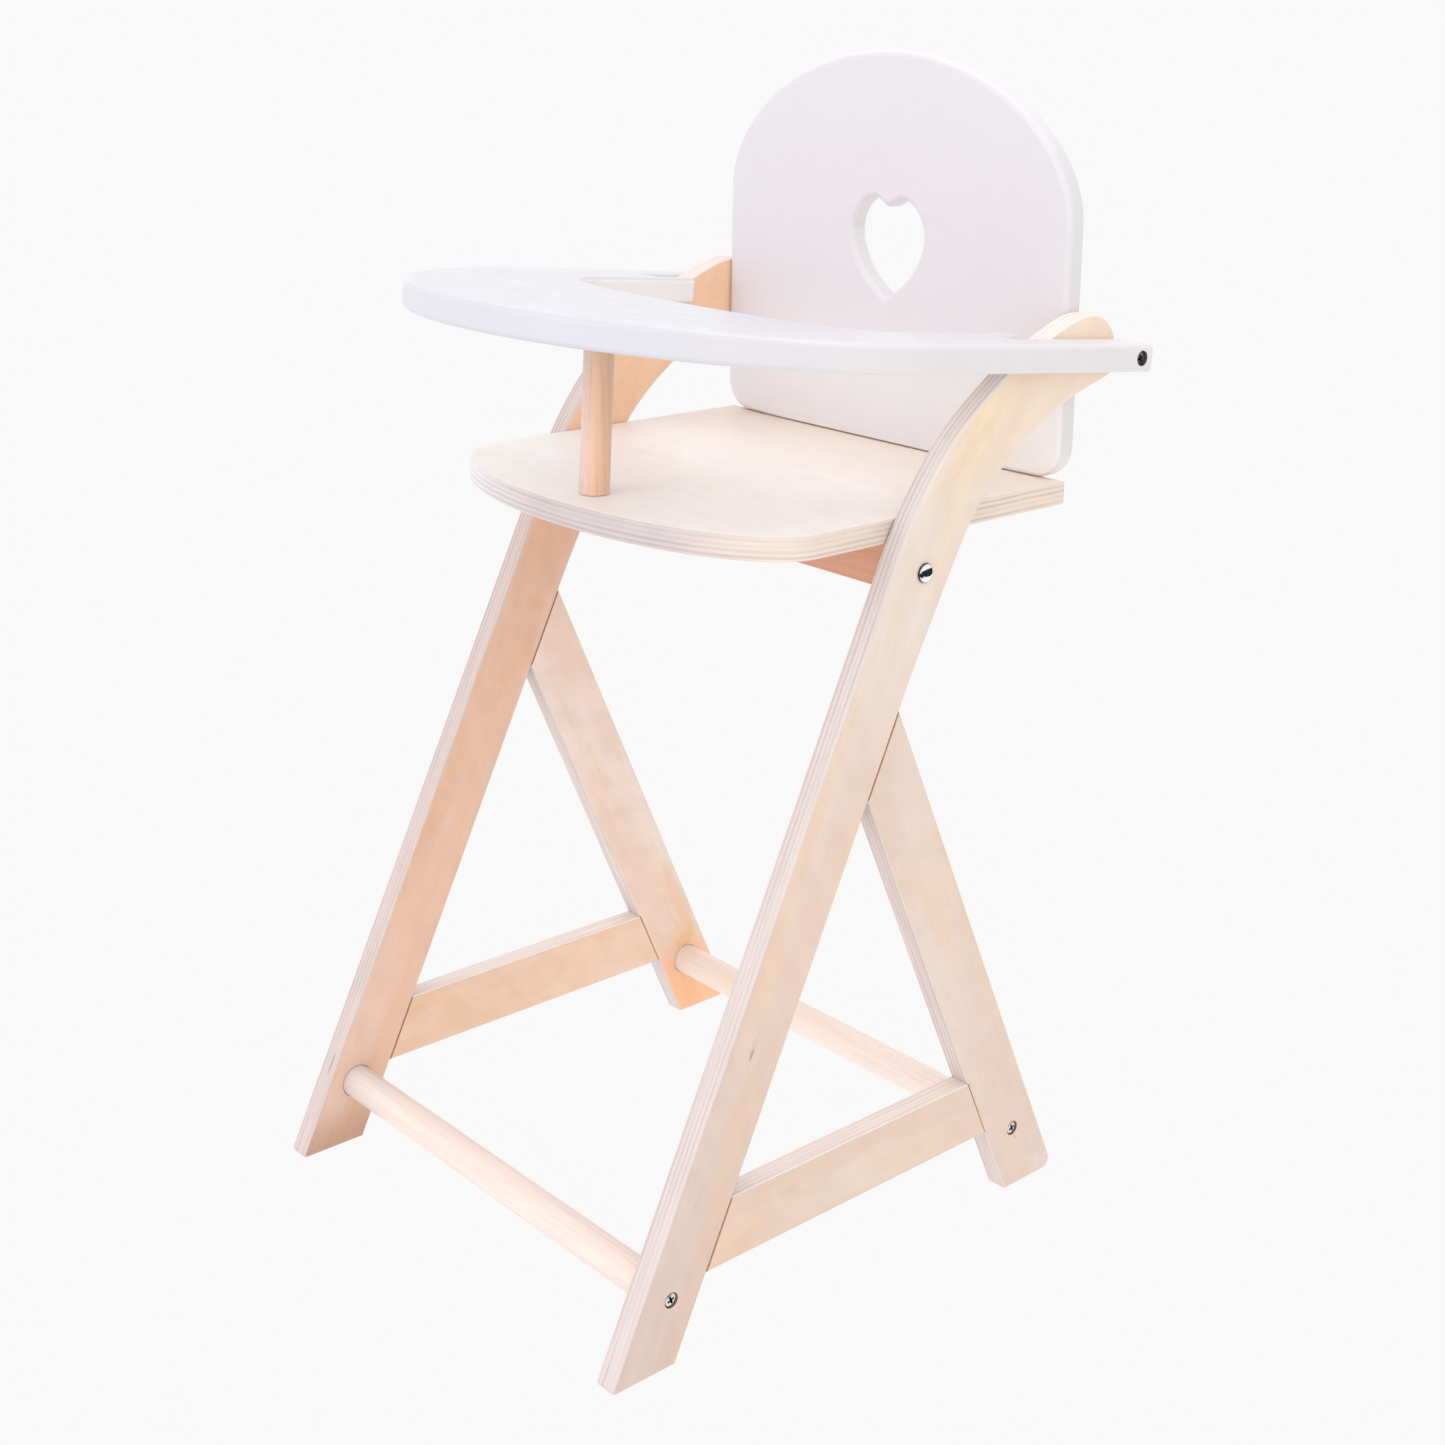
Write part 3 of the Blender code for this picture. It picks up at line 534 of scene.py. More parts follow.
def lacquer(name, base, shade, shift, rough=(0.30, 0.42), peel=0.00008, turned=(),
            zones=(), tones=()):
    """White sprayed lacquer with a faint orange peel and slight tone drift.
    `turned`: (direction, low, high, tint), painted light and shade, the tint of the parts that
    face that way; `zones`: (factor function, tint), painted light on a part of the piece."""
    n = Nodes(name)
    p = n.vmath("ADD", n.place, (shift, shift * 0.3, 0.0))
    drift = n.noise(p, 7.0, 2.0, 0.5)
    fine = n.noise(p, 95.0, 3.0, 0.55)
    dimple = n.noise(p, 520.0, 2.0, 0.5)
    dust = n.cells(p, 160.0, 1.0)
    colour = n.mix(n.step(drift, 0.30, 0.70), base, shade)
    # painted light and shade by the way each face looks
    for direction, low, high, tint in turned:
        look = n.vmath("DOT_PRODUCT", n.facing, tuple(direction))
        colour = n.mix(n.step(look, low, high), colour, tint)
    # painted light on parts of the piece
    for factor, tint in zones:
        colour = n.mix(factor(n), colour, tint)
    colour = n.mix(1.0, colour, n.ramp(fine, [(0.30, (0.990, 0.990, 0.992)), (0.65, (1.004, 1.004, 1.004))]), "MULTIPLY")
    colour = n.mix(n.math("MULTIPLY", n.step(dust, 0.02, 0.045, 1.0, 0.0), 0.05), colour, (0.45, 0.42, 0.40))
    colour = drifts(n, colour, tones)
    height = n.math("ADD", n.math("MULTIPLY", dimple, 0.6), n.math("MULTIPLY", fine, 0.8))
    return n.done(colour, n.step(fine, 0.3, 0.7, *rough), n.bump(height, peel, 0.5), coat=0.0, specular=0.45)


def plated(name, base, tint, rough, shift, scratch=0.5, rim=None):
    """Plated steel: fine turning marks, light scratches and a cloudy sheen."""
    n = Nodes(name)
    p = n.vmath("ADD", n.place, (shift, 0.0, 0.0))
    cloud = n.noise(p, 420.0, 3.0, 0.6)
    fine = n.noise(n.vmath("MULTIPLY", p, (900.0, 9000.0, 2600.0)), 1.0, 2.0, 0.6)
    colour = n.mix(n.step(cloud, 0.3, 0.7), base, tint)
    # with `rim`, faces turned away from the X axis take the dark tint: a painted dark reflection and shade ring
    if rim:
        low, high, dark = rim
        flatness = n.math("ABSOLUTE", n.vmath("DOT_PRODUCT", n.facing, (1.0, 0.0, 0.0)))
        colour = n.mix(n.step(flatness, low, high), dark, colour)
    r = n.math("ADD", n.step(cloud, 0.3, 0.7, rough, rough * 1.7), n.math("MULTIPLY", fine, 0.08 * scratch))
    return n.done(colour, r, n.bump(fine, 0.00003, 0.35 * scratch), metal=1.0, specular=0.5)


# ------------------------------------------------------------ mesh operations
def new_object(name, mesh):
    obj = bpy.data.objects.new(name, mesh)
    bpy.context.scene.collection.objects.link(obj)
    return obj


def plate_mesh(name, outlines, thick):
    mesh = bpy.data.meshes.new(name)
    bm = bmesh.new()
    corners = {}
    for points in outlines:
        ring = []
        for p in points:
            key = (round(p[0] * 1e6), round(p[1] * 1e6))
            if key not in corners:
                corners[key] = bm.verts.new((p[0], p[1], -thick / 2))
            if not ring or ring[-1] is not corners[key]:
                ring.append(corners[key])
        if ring[0] is ring[-1]:
            ring.pop()
        bm.faces.new(ring)
    made = bmesh.ops.extrude_face_region(bm, geom=list(bm.faces))
    top = [v for v in made["geom"] if isinstance(v, bmesh.types.BMVert)]
    bmesh.ops.translate(bm, vec=(0, 0, thick), verts=top)
    bmesh.ops.recalc_face_normals(bm, faces=bm.faces)
    bm.to_mesh(mesh)
    bm.free()
    return mesh


def weigh(mesh, rule):
    """Sets how much each edge is rounded, from 0 to 1."""
    bm = bmesh.new()
    bm.from_mesh(mesh)
    layer = bm.edges.layers.float.new("bevel_weight_edge")
    for edge in bm.edges:
        edge[layer] = rule(edge)
    bm.to_mesh(mesh)
    bm.free()
    return mesh


def free_edges(mesh, piece):
    """Free edges fully rounded, the edges at the joints only a little."""
    def rule(edge):
        a, b = (v.co for v in edge.verts)
        if abs(a.z - b.z) > 0.001:
            return 0.0
        for seam, amount in zip(SEAMS[piece], GROOVE[piece]):
            if on_joint([Vector(a.xy), Vector(b.xy)], [seam]):
                return amount
        return 1.0
    return weigh(mesh, rule)


def cylinder_mesh(name, radius, length, sides, radius_end=None):
    mesh = bpy.data.meshes.new(name)
    bm = bmesh.new()
    bmesh.ops.create_cone(bm, cap_ends=True, cap_tris=False, segments=sides,
                          radius1=radius,
                          radius2=radius if radius_end is None else radius_end,
                          depth=length)
    bm.to_mesh(mesh)
    bm.free()
    return mesh


def box_mesh(name, size):
    mesh = bpy.data.meshes.new(name)
    bm = bmesh.new()
    bmesh.ops.create_cube(bm, size=1.0)
    bmesh.ops.scale(bm, vec=size, verts=bm.verts)
    bm.to_mesh(mesh)
    bm.free()
    return mesh


def turned_mesh(name, profile, sides):
    """Solid of revolution from (radius, height), top to bottom; ends on the axis."""
    mesh = bpy.data.meshes.new(name)
    bm = bmesh.new()
    rings = []
    for r, h in profile:
        if r <= 1e-9:
            rings.append([bm.verts.new((0.0, 0.0, h))])
        else:
            rings.append([bm.verts.new((r * math.cos(2 * math.pi * k / sides),
                                        r * math.sin(2 * math.pi * k / sides), h))
                          for k in range(sides)])
    for a, b in zip(rings, rings[1:]):
        for k in range(sides):
            j = (k + 1) % sides
            if len(a) == 1:
                bm.faces.new((a[0], b[k], b[j]))
            elif len(b) == 1:
                bm.faces.new((a[k], b[0], a[j]))
            else:
                bm.faces.new((a[k], b[k], b[j], a[j]))
    bmesh.ops.recalc_face_normals(bm, faces=bm.faces)
    bm.to_mesh(mesh)
    bm.free()
    return mesh


def evaluated(obj, name):
    """Mesh with the modifiers applied; the modifiers are then removed."""
    bpy.context.view_layer.update()
    graph = bpy.context.evaluated_depsgraph_get()
    mesh = bpy.data.meshes.new_from_object(obj.evaluated_get(graph),
                                           preserve_all_data_layers=True, depsgraph=graph)
    mesh.name = name
    obj.modifiers.clear()
    obj.data = mesh
    return mesh


def build(name, mesh, matrix, round_edge=0.0, segments=2, holes=(), angle=38.0,
          limit=40.0, joins=(), weighted=False):
    """Mesh in the row frame, its edges rounded, holes cut and shading set."""
    mesh.transform(matrix)
    if matrix.is_negative:
        mesh.flip_normals()
    obj = new_object(name, mesh)
    if round_edge > 0:
        mod = obj.modifiers.new("round", "BEVEL")
        mod.width = round_edge
        mod.segments = segments
        mod.limit_method = "WEIGHT" if weighted else "ANGLE"
        mod.angle_limit = math.radians(limit)
        mod.use_clamp_overlap = False
    used = []
    for kind, cutter, place in [("DIFFERENCE", *h) for h in holes] + [("UNION", *j) for j in joins]:
        cutter.transform(place)
        tool = new_object(name + "_tool", cutter)
        mod = obj.modifiers.new("cut", "BOOLEAN")
        mod.operation = kind
        mod.solver = "EXACT"
        mod.object = tool
        used.append(tool)
    evaluated(obj, name)
    for tool in used:
        bpy.data.objects.remove(tool)
    obj.data.shade_smooth()
    obj.data.set_sharp_from_angle(angle=math.radians(angle))
    mod = obj.modifiers.new("even_normals", "WEIGHTED_NORMAL")
    mod.keep_sharp = True
    mod.weight = 50
    evaluated(obj, name)
    return obj


def two_faces(obj, axis, face, edge, centre=None, inner=None, level=0.94):
    """Face material on the flat sides across `axis`, edge material elsewhere;
    `inner` goes on the flat side that looks towards the chair's middle."""
    obj.data.materials.clear()
    for mat in (face, edge) + ((inner,) if inner else ()):
        obj.data.materials.append(mat)
    a = Vector(axis)
    for poly in obj.data.polygons:
        d = poly.normal.dot(a)
        if abs(d) > level:
            poly.material_index = 0
            if inner and centre is not None and d * centre < 0:
                poly.material_index = 2
        else:
            poly.material_index = 1
    return obj


def inside(obj, test, mat):
    """Gives the faces for which test(centre, normal) is true the material."""
    obj.data.materials.append(mat)
    last = len(obj.data.materials) - 1
    for poly in obj.data.polygons:
        if test(poly.center, poly.normal):
            poly.material_index = last
    return obj


def one(obj, mat):
    obj.data.materials.clear()
    obj.data.materials.append(mat)
    for poly in obj.data.polygons:
        poly.material_index = 0
    return obj


# ------------------------------------------------------------------- finishes
LEG_UP = Vector((0.0, LEG_SLOPE, 1.0)).normalized()
LEG_SIDE = Vector((0.0, 1.0, -LEG_SLOPE)).normalized()
REAR_UP = Vector((0.0, REAR_SLOPE, 1.0)).normalized()
REAR_SIDE = Vector((0.0, 1.0, -REAR_SLOPE)).normalized()

OUT_BASE, OUT_WARM, OUT_PALE = (0.690, 0.528, 0.442), (0.755, 0.545, 0.372), (0.710, 0.575, 0.500)
# inner faces: a warmer, slightly darker copy of the birch colours, painted shade of the space between the frames
IN_BASE, IN_WARM, IN_PALE = (0.751, 0.496, 0.359), (0.770, 0.455, 0.270), (0.765, 0.545, 0.430)
EDGE_LIGHT, EDGE_DARK, EDGE_GLUE = (0.770, 0.694, 0.680), (0.660, 0.555, 0.525), (0.490, 0.335, 0.280)

MARKS = {
    "front_leg_left": [
        (chair(0.1360, 0.0803, 0.1376), LEG_UP, 0.0032, 0.0009, 0.75, (0.36, 0.17, 0.08)),
        (chair(0.1360, 0.0811, 0.1400), LEG_UP, 0.0060, 0.0022, 0.30, (0.62, 0.38, 0.24)),
        (chair(0.1360, 0.1661, 0.3300), LEG_UP, 0.0300, 0.0032, 0.30, OUT_WARM),
        (chair(0.1360, 0.2071, 0.3950), Vector((0, 0.75, 0.66)), 0.0300, 0.0045, 0.30, OUT_WARM),
    ],
    "rear_leg_left": [
        (chair(0.1360, 0.2654, 0.0278), REAR_UP, 0.0010, 0.0008, 0.6, (0.40, 0.22, 0.12)),
    ],
    "rear_leg_right": [
        (chair(-0.1240, 0.2650, 0.0160), REAR_UP, 0.0150, 0.0040, 0.30, (0.74, 0.40, 0.17)),
        (chair(-0.1240, 0.2722, 0.0100), REAR_UP, 0.0110, 0.0022, 0.28, (0.74, 0.42, 0.19)),
        (chair(-0.1240, 0.2618, 0.0462), REAR_SIDE, 0.0080, 0.0052, 0.50, (0.78, 0.44, 0.18)),
        (chair(-0.1240, 0.2600, 0.0500), REAR_SIDE, 0.0100, 0.0085, 0.22, (0.80, 0.48, 0.24)),
        (chair(-0.1240, 0.2580, 0.0700), REAR_UP, 0.0340, 0.0042, 0.32, (0.80, 0.45, 0.23)),
    ],
}

UP, RIGHTWARD = (0.0, 0.0, 1.0), (1.0, 0.0, 0.0)
PLAIN = (1.0, 1.0, 1.0)
FACE_TONES = {
    ("front_leg", "left"): [(UP, 0.02, 0.20, (0.895, 0.865, 0.880), (1.0, 0.970, 0.950)),
                            (UP, 0.22, 0.36, PLAIN, (1.075, 1.200, 1.270)),
                            (UP, 0.35, 0.43, PLAIN, (1.125, 1.060, 0.950))],
    ("rear_leg", "left"): [(UP, 0.02, 0.10, (0.975, 0.960, 0.975), PLAIN)],
    ("side_rail", "left"): [(UP, 0.00, 0.01, PLAIN, (0.990, 0.965, 0.925))],
}
# tone drifts on the inner faces; on the right front leg the part from 0.28 m up is lightened, painted light where the
# tray shades it, and its foot is darker towards the bottom
INNER_TONES = {
    ("front_leg", "right"): [(UP, 0.000, 0.034, (0.640, 0.540, 0.490), (0.950, 0.925, 0.935)),
                             (UP, 0.28, 0.385, PLAIN, (1.290, 1.290, 1.150))],
    ("rear_leg", "right"): [(UP, 0.015, 0.060, (1.230, 0.990, 0.740), (1.030, 1.200, 1.380))],
    ("side_rail", "right"): [((0.0, 1.0, 0.0), 0.080 + Y_SHIFT, 0.200 + Y_SHIFT,
                              (0.975, 0.965, 0.930), (1.040, 1.110, 1.135))],
}
EDGE_LEVEL = {"front_leg": (0.840, 0.825, 0.830), "rear_leg": (0.885, 0.845, 0.835),
              "side_rail": (1.020, 1.000, 0.965)}
finishes = {}
for k, (side, s) in enumerate(SIDES):
    mid = (s * (FRAME_IN + PLY / 2), 0.0, 0.0)
    for j, (piece, up, across) in enumerate((
            ("front_leg", LEG_UP, LEG_SIDE), ("rear_leg", REAR_UP, REAR_SIDE),
            ("side_rail", Vector((0, 1, 0)), Vector((0, 0, 1))))):
        name = f"{piece}_{side}"
        shift = 0.61 * k + 1.37 * j + 0.2
        finishes[name] = (
            birch_face(f"birch_{name}_out", up, across, OUT_BASE, OUT_WARM, OUT_PALE, shift,
                       0.5, MARKS.get(name, ()) if s > 0 else (),
                       tones=FACE_TONES.get((piece, side), ()), figure=0.7),
            ply_edge(f"ply_{name}", (1.0, 0.0, 0.0), mid, PLY, EDGE_LIGHT,
                     (0.675, 0.590, 0.560) if piece == "side_rail" else EDGE_DARK, EDGE_GLUE,
                     shift * 3, tones=[(UP, -0.02, -0.01, PLAIN, EDGE_LEVEL[piece]),
                                       (RIGHTWARD, -0.11, 0.11,
                                        (0.945, 0.905, 0.895) if piece == "front_leg" else
                                        (1.020, 1.045, 1.045), PLAIN),
                                       # from 0.335 m up the ply edges are lightened: painted light on the arms where
                                       # the tray shades them
                                       (UP, 0.335, 0.440, PLAIN, (1.360, 1.400, 1.360))],
                     marks=[(chair(-0.12825, 0.0215, 0.0460), LEG_UP, 0.0068, 0.00032, 0.85, (0.10, 0.05, 0.03))]
                     if name == "front_leg_right" else ()),
            # inner face: the warmer birch copy, painted shade between the frames
            birch_face(f"birch_{name}_in", up, across, IN_BASE, IN_WARM, IN_PALE, shift + 5.1,
                       0.6, MARKS.get(name, ()) if s < 0 else (),
                       tones=INNER_TONES.get((piece, side), ())))

# seat top: a very light birch colour, painted light that makes up for the tray's shade; it darkens towards the
# backrest and towards the rear left as painted shade
birch_seat = birch_face("birch_seat_top", (1.0, 0.0, 0.0), (0.0, 1.0, 0.0), (0.950, 0.880, 0.830),
                        (0.940, 0.820, 0.730), (0.955, 0.905, 0.870), 3.3, 0.22, figure=0.35,
                        tones=[((0.0, 1.0, 0.0), 0.205 + Y_SHIFT, 0.290 + Y_SHIFT, PLAIN, (0.962, 0.893, 0.825)),
                               ((-0.7071, 0.7071, 0.0), 0.085, 0.165, PLAIN, (0.895, 0.865, 0.865))])
birch_seat_low = birch_face("birch_seat_under", (1.0, 0.0, 0.0), (0.0, 1.0, 0.0), OUT_BASE,
                            OUT_WARM, OUT_PALE, 7.3, 0.5)
ply_seat = ply_edge("ply_seat", (0.0, 0.0, 1.0), (0.0, 0.0, SEAT_TOP - SEAT_T / 2), SEAT_T,
                    (0.739, 0.676, 0.655), (0.610, 0.520, 0.475), (0.500, 0.390, 0.330), 1.0,
                    tones=[(RIGHTWARD, -0.095, -0.005, (0.985, 1.040, 1.140), (0.775, 0.755, 0.795)),
                           (RIGHTWARD, 0.060, 0.120, PLAIN, (1.300, 1.255, 1.090))])

# painted light and shade on the post: cooler on its -X side, warmer and darker on its +X side, and darker towards the
# tray as painted shade under it
beech_post = beech("beech_post", (0.0, 0.0, 1.0), (1.0, 0.0, 0.0), (0.722, 0.505, 0.407),
                   (0.755, 0.493, 0.354), (0.480, 0.260, 0.170), 0.4, 0.30,
                   tones=[(RIGHTWARD, -0.007, 0.007, (0.845, 1.020, 1.300), (1.010, 0.965, 0.870)),
                          (UP, 0.375, 0.425, (1.050, 1.045, 1.045), (0.960, 0.965, 0.975))])
# the front dowel is darkened towards its -X end: painted shade
beech_front = beech("beech_front_dowel", (1.0, 0.0, 0.0), (0.0, 1.0, 0.0), (0.780, 0.685, 0.655),
                    (0.790, 0.645, 0.585), (0.600, 0.420, 0.340), 1.9, 0.22,
                    tones=[(RIGHTWARD, -0.122, -0.070, (0.855, 0.875, 0.900), PLAIN)])
beech_rear = beech("beech_rear_dowel", (1.0, 0.0, 0.0), (0.0, 1.0, 0.0), (0.820, 0.715, 0.670),
                   (0.820, 0.665, 0.575), (0.600, 0.420, 0.340), 4.7, 0.22)
beech_rail = beech("beech_seat_rail", (1.0, 0.0, 0.0), (0.0, 1.0, 0.0), (0.650, 0.330, 0.218),
                   (0.690, 0.350, 0.225), (0.400, 0.140, 0.070), 2.6, 0.55, 0.3)
beech_pin = beech("beech_pins", (1.0, 0.0, 0.0), (0.0, 1.0, 0.0), (0.660, 0.480, 0.360),
                  (0.690, 0.470, 0.330), (0.450, 0.260, 0.160), 6.1, 0.3)

def in_heart(n):
    """1 on the inner wall of the heart-shaped hole."""
    far = n.vmath("LENGTH", n.vmath("MULTIPLY", n.vmath("SUBTRACT", n.place, chair(0, 0, SEAT_TOP + 0.1035)),
                                    (1.0, 0.0, 1.0)))
    wall = n.math("ABSOLUTE", n.vmath("DOT_PRODUCT", n.facing, (0.0, 1.0, 0.0)))
    return n.math("MULTIPLY", n.step(far, 0.034, 0.038, 1.0, 0.0), n.step(wall, 0.35, 0.97, 1.0, 0.0))


def low_front(n):
    """1 on the front face of the backrest near the seat."""
    high = n.vmath("DOT_PRODUCT", n.place, (0.0, 0.0, 1.0))
    front = n.vmath("DOT_PRODUCT", n.facing, (0.0, -1.0, 0.0))
    return n.math("MULTIPLY", n.step(high, 0.395, 0.455, 1.0, 0.0), n.step(front, 0.35, 0.90))


# backrest: sides, top and the rear-right rounding take their own tints by the way they face, painted light and shade;
# the foot a brown painted contact shade; the heart's wall, the front near the seat and the lower +X part painted light
white_back = lacquer("white_backrest", (0.664, 0.630, 0.676), (0.656, 0.622, 0.662), 0.3,
                     turned=[((0.0, 1.0, 0.0), -0.97, -0.35, (0.678, 0.660, 0.684)),
                             ((1.0, 0.0, 0.0), 0.45, 0.98, (0.645, 0.630, 0.640)),
                             ((0.7071, 0.7071, 0.0), 0.80, 0.99, (0.560, 0.548, 0.562)),
                             ((0.0, 0.0, 1.0), 0.45, 0.95, (0.725, 0.712, 0.728)),
                             ((0.0, 0.0, -1.0), 0.72, 0.99, (0.680, 0.450, 0.320))],
                     zones=[(in_heart, (0.705, 0.675, 0.692)), (low_front, (0.765, 0.744, 0.770))],
                     tones=[((0.83, 0.0, -0.56), -0.200, -0.120, PLAIN, (1.065, 1.055, 1.015))])
# near-black walls of the pivot screws' holes in the tray: painted shade of the recess
tray_hole_painted_shade = lacquer("tray_hole_wall", (0.120, 0.090, 0.085), (0.100, 0.075, 0.070), 5.3,
                    (0.45, 0.60))

nickel = plated("nickel_screw", (0.66, 0.645, 0.63), (0.74, 0.73, 0.715), 0.17, 0.0)
# the pivot screws are the same nickel painted darker: painted shade of their sunk holes
nickel_painted_shade = plated("nickel_pivot_screw", (0.22, 0.20, 0.20), (0.30, 0.28, 0.27), 0.30, 0.3)
# chrome bolt heads with a painted dark ring of reflection and shade round the dome's rim
chrome = plated("chrome_bolt", (0.80, 0.80, 0.81), (0.86, 0.86, 0.87), 0.06, 0.6, 0.12,
                rim=(0.72, 0.93, (0.050, 0.045, 0.045)))
# near-black metal for the inside of the cross recesses: painted shade
cross_painted_shade = plated("screw_cross", (0.022, 0.018, 0.018), (0.040, 0.034, 0.034), 0.45, 1.3, 0.5)
zinc = plated("zinc_nut", (0.60, 0.58, 0.52), (0.66, 0.64, 0.58), 0.35, 0.9, 1.0)

# ---------------------------------------------------------------- side frames
TO_SIDE = Matrix(((0, 0, 1, 0), (1, 0, 0, 0), (0, 1, 0, 0), (0, 0, 0, 1)))


def head_matrix(head_centre, direction, sink):
    d = Vector(direction).normalized()
    return (Matrix.Translation(Vector(head_centre) - d * sink)
            @ d.to_track_quat("Z", "Y").to_matrix().to_4x4())


def screw_hole(length, clear, head, rim, flare, name="hole"):
    return turned_mesh(name, [(0.0, rim), (head + clear + rim * flare, rim), (head + clear, 0.0),
                              (head + clear, -0.0004 - clear),
                              (SHANK_R + clear, -HEAD_DEPTH - clear), (SHANK_R + clear, -length - 0.0005),
                              (0.0, -length - 0.0005)], 48)


screws = {}      # node: head centre, direction, length, sink, head radius, flare
for side, s in SIDES:
    for which, (y, z) in (("front", DOWEL_FRONT), ("rear", DOWEL_REAR)):
        screws[f"{which}_dowel_screw_{side}"] = (chair(s * FRAME_OUT, y, z), (s, 0, 0),
                                                 0.034, 0.0006, HEAD_R, 1.0)
    screws[f"tray_pivot_screw_{side}"] = (chair(s * TRAY_SCREW_X, PIVOT_Y, PIVOT_Z), (s, 0, 0),
                                          PIVOT_LEN, 0.0012, PIVOT_HEAD_R, 0.0)
    screws[f"seat_screw_{side}"] = (chair(s * 0.0600, CROSS_Y, SEAT_TOP - SEAT_T - GAP - CROSS_H),
                                    (0, 0, -1), 0.0285, 0.0006, HEAD_R, 1.0)
places = {name: head_matrix(centre, direction, sink)
          for name, (centre, direction, length, sink, head, flare) in screws.items()}


def hole_for(name, clear=0.00016):
    centre, direction, length, sink, head, flare = screws[name]
    return (screw_hole(length, clear, head, sink + 0.0010, flare), places[name])


def in_hole(name, extra=0.0012):
    """Faces inside the wide part of a screw's hole."""
    centre, direction, length, sink, head, flare = screws[name]
    axis = Vector(direction)

    def test(at, normal):
        out = at - centre
        deep = out.dot(axis)
        return (abs(normal.dot(axis)) < 0.93 and deep < 0.0009
                and (out - axis * deep).length < head + extra)
    return test


# very dark wood inside the screw holes: raw wood darkened with painted shade of the recess
bore_wood_painted_shade = beech("wood_inside_holes", (0.0, 1.0, 0.0), (0.0, 0.0, 1.0), (0.120, 0.060, 0.035),
                  (0.150, 0.075, 0.040), (0.080, 0.035, 0.020), 8.2, 0.2, 0.15)
seam_wood = beech("wood_in_joints", (0.0, 0.0, 1.0), (1.0, 0.0, 0.0), (0.520, 0.310, 0.190),
                  (0.560, 0.330, 0.200), (0.300, 0.150, 0.080), 9.4, 0.2, 0.2)
seam_dark = beech("wood_in_rear_joint", (0.0, 0.0, 1.0), (1.0, 0.0, 0.0), (0.300, 0.150, 0.080),
                  (0.330, 0.165, 0.085), (0.180, 0.085, 0.045), 9.9, 0.2, 0.2,
                  tones=[(UP, 0.038, 0.070, (1.80, 1.70, 1.60), PLAIN)])

for side, s in SIDES:
    move = Matrix.Translation((s * (FRAME_IN + PLY / 2), Y_SHIFT, 0.0)) @ TO_SIDE
    bolt_hole = (cylinder_mesh("hole", BOLT_R + GAP, 0.0340, 32),
                 Matrix.Translation(chair(s * (FRAME_OUT - 0.0155), CROSS_Y - 0.0002, BOLT_Z))
                 @ Matrix.Rotation(math.pi / 2, 4, "Y"))
    sockets = {which: (cylinder_mesh("socket", DOWEL_R + 0.00028, 2 * DOWEL_LET_IN, 96),
                       Matrix.Translation(chair(s * FRAME_IN, y, z)) @ Matrix.Rotation(math.pi / 2, 4, "Y"))
               for which, (y, z) in (("front", DOWEL_FRONT), ("rear", DOWEL_REAR))}
    leg = build(f"front_leg_{side}_board",
                free_edges(plate_mesh("leg", [front_leg_outline(22)], PLY), "front_leg"), move,
                BOARD_EASE, 4, [hole_for(f"front_dowel_screw_{side}"), sockets["front"],
                                hole_for(f"tray_pivot_screw_{side}", 0.0002), bolt_hole], weighted=True)
    back = build(f"rear_leg_{side}_board",
                 free_edges(plate_mesh("back", [rear_leg_outline()], PLY), "rear_leg"), move,
                 BOARD_EASE, 4, [hole_for(f"rear_dowel_screw_{side}"), sockets["rear"]], weighted=True)
    rail = build(f"side_rail_{side}_board",
                 free_edges(plate_mesh("rail", [side_rail_outline()], PLY), "side_rail"), move,
                 BOARD_EASE, 4, weighted=True)
    for obj, piece in ((leg, "front_leg"), (back, "rear_leg"), (rail, "side_rail")):
        node = f"{piece}_{side}"
        face, edge, inner = finishes[node]
        two_faces(obj, (1, 0, 0), face, edge, s, inner, 0.86)
        seams = SEAMS[piece]
        inside(obj, lambda at, normal: abs(normal.x) < 0.97
               and on_joint([Vector((at.y - Y_SHIFT, at.z))], seams, 0.0003), seam_wood)
        if piece != "front_leg":
            inside(obj, lambda at, normal: abs(normal.x) < 0.97
                   and on_joint([Vector((at.y - Y_SHIFT, at.z))], seams[1:], 0.0005), seam_dark)
        if piece != "side_rail":
            which = "front" if piece == "front_leg" else "rear"
            # the screw holes' walls take the wood with painted shade
            inside(obj, in_hole(f"{which}_dowel_screw_{side}"), bore_wood_painted_shade)
        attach(obj, "chair")
        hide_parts(node)

# --------------------------------------------------------------------- dowels
for which, (y, z), mat in (("front", DOWEL_FRONT, beech_front), ("rear", DOWEL_REAR, beech_rear)):
    rod = build(f"{which}_dowel_rod",
                cylinder_mesh("rod", DOWEL_R, 2 * (FRAME_IN + DOWEL_LET_IN - GAP), 96),
                Matrix.Translation(chair(0, y, z)) @ Matrix.Rotation(math.pi / 2, 4, "Y"),
                0.0006, 3, [hole_for(f"{which}_dowel_screw_{side}") for side, _ in SIDES])
    one(rod, mat)
    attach(rod, "chair")
    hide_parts(f"{which}_dowel")

# ----------------------------------------------------------- seat and its rail
under_seat = SEAT_TOP - SEAT_T
front = arch(SEAT_HALF_W, SEAT_ARC_Y - SEAT_FRONT, 2.0, 176)
outline = [Vector((p.x, SEAT_ARC_Y - p.y)) for p in front]
outline += [Vector((SEAT_HALF_W, SEAT_REAR)), Vector((-SEAT_HALF_W, SEAT_REAR))]
seat = build("seat_board", plate_mesh("seat", [outline], SEAT_T),
             Matrix.Translation(chair(0, 0, SEAT_TOP - SEAT_T / 2)), 0.0008, 3,
             [hole_for(f"seat_screw_{side}") for side, _ in SIDES])
two_faces(seat, (0, 0, 1), birch_seat, ply_seat, 1.0, birch_seat_low)
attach(seat, "chair")
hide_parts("seat")

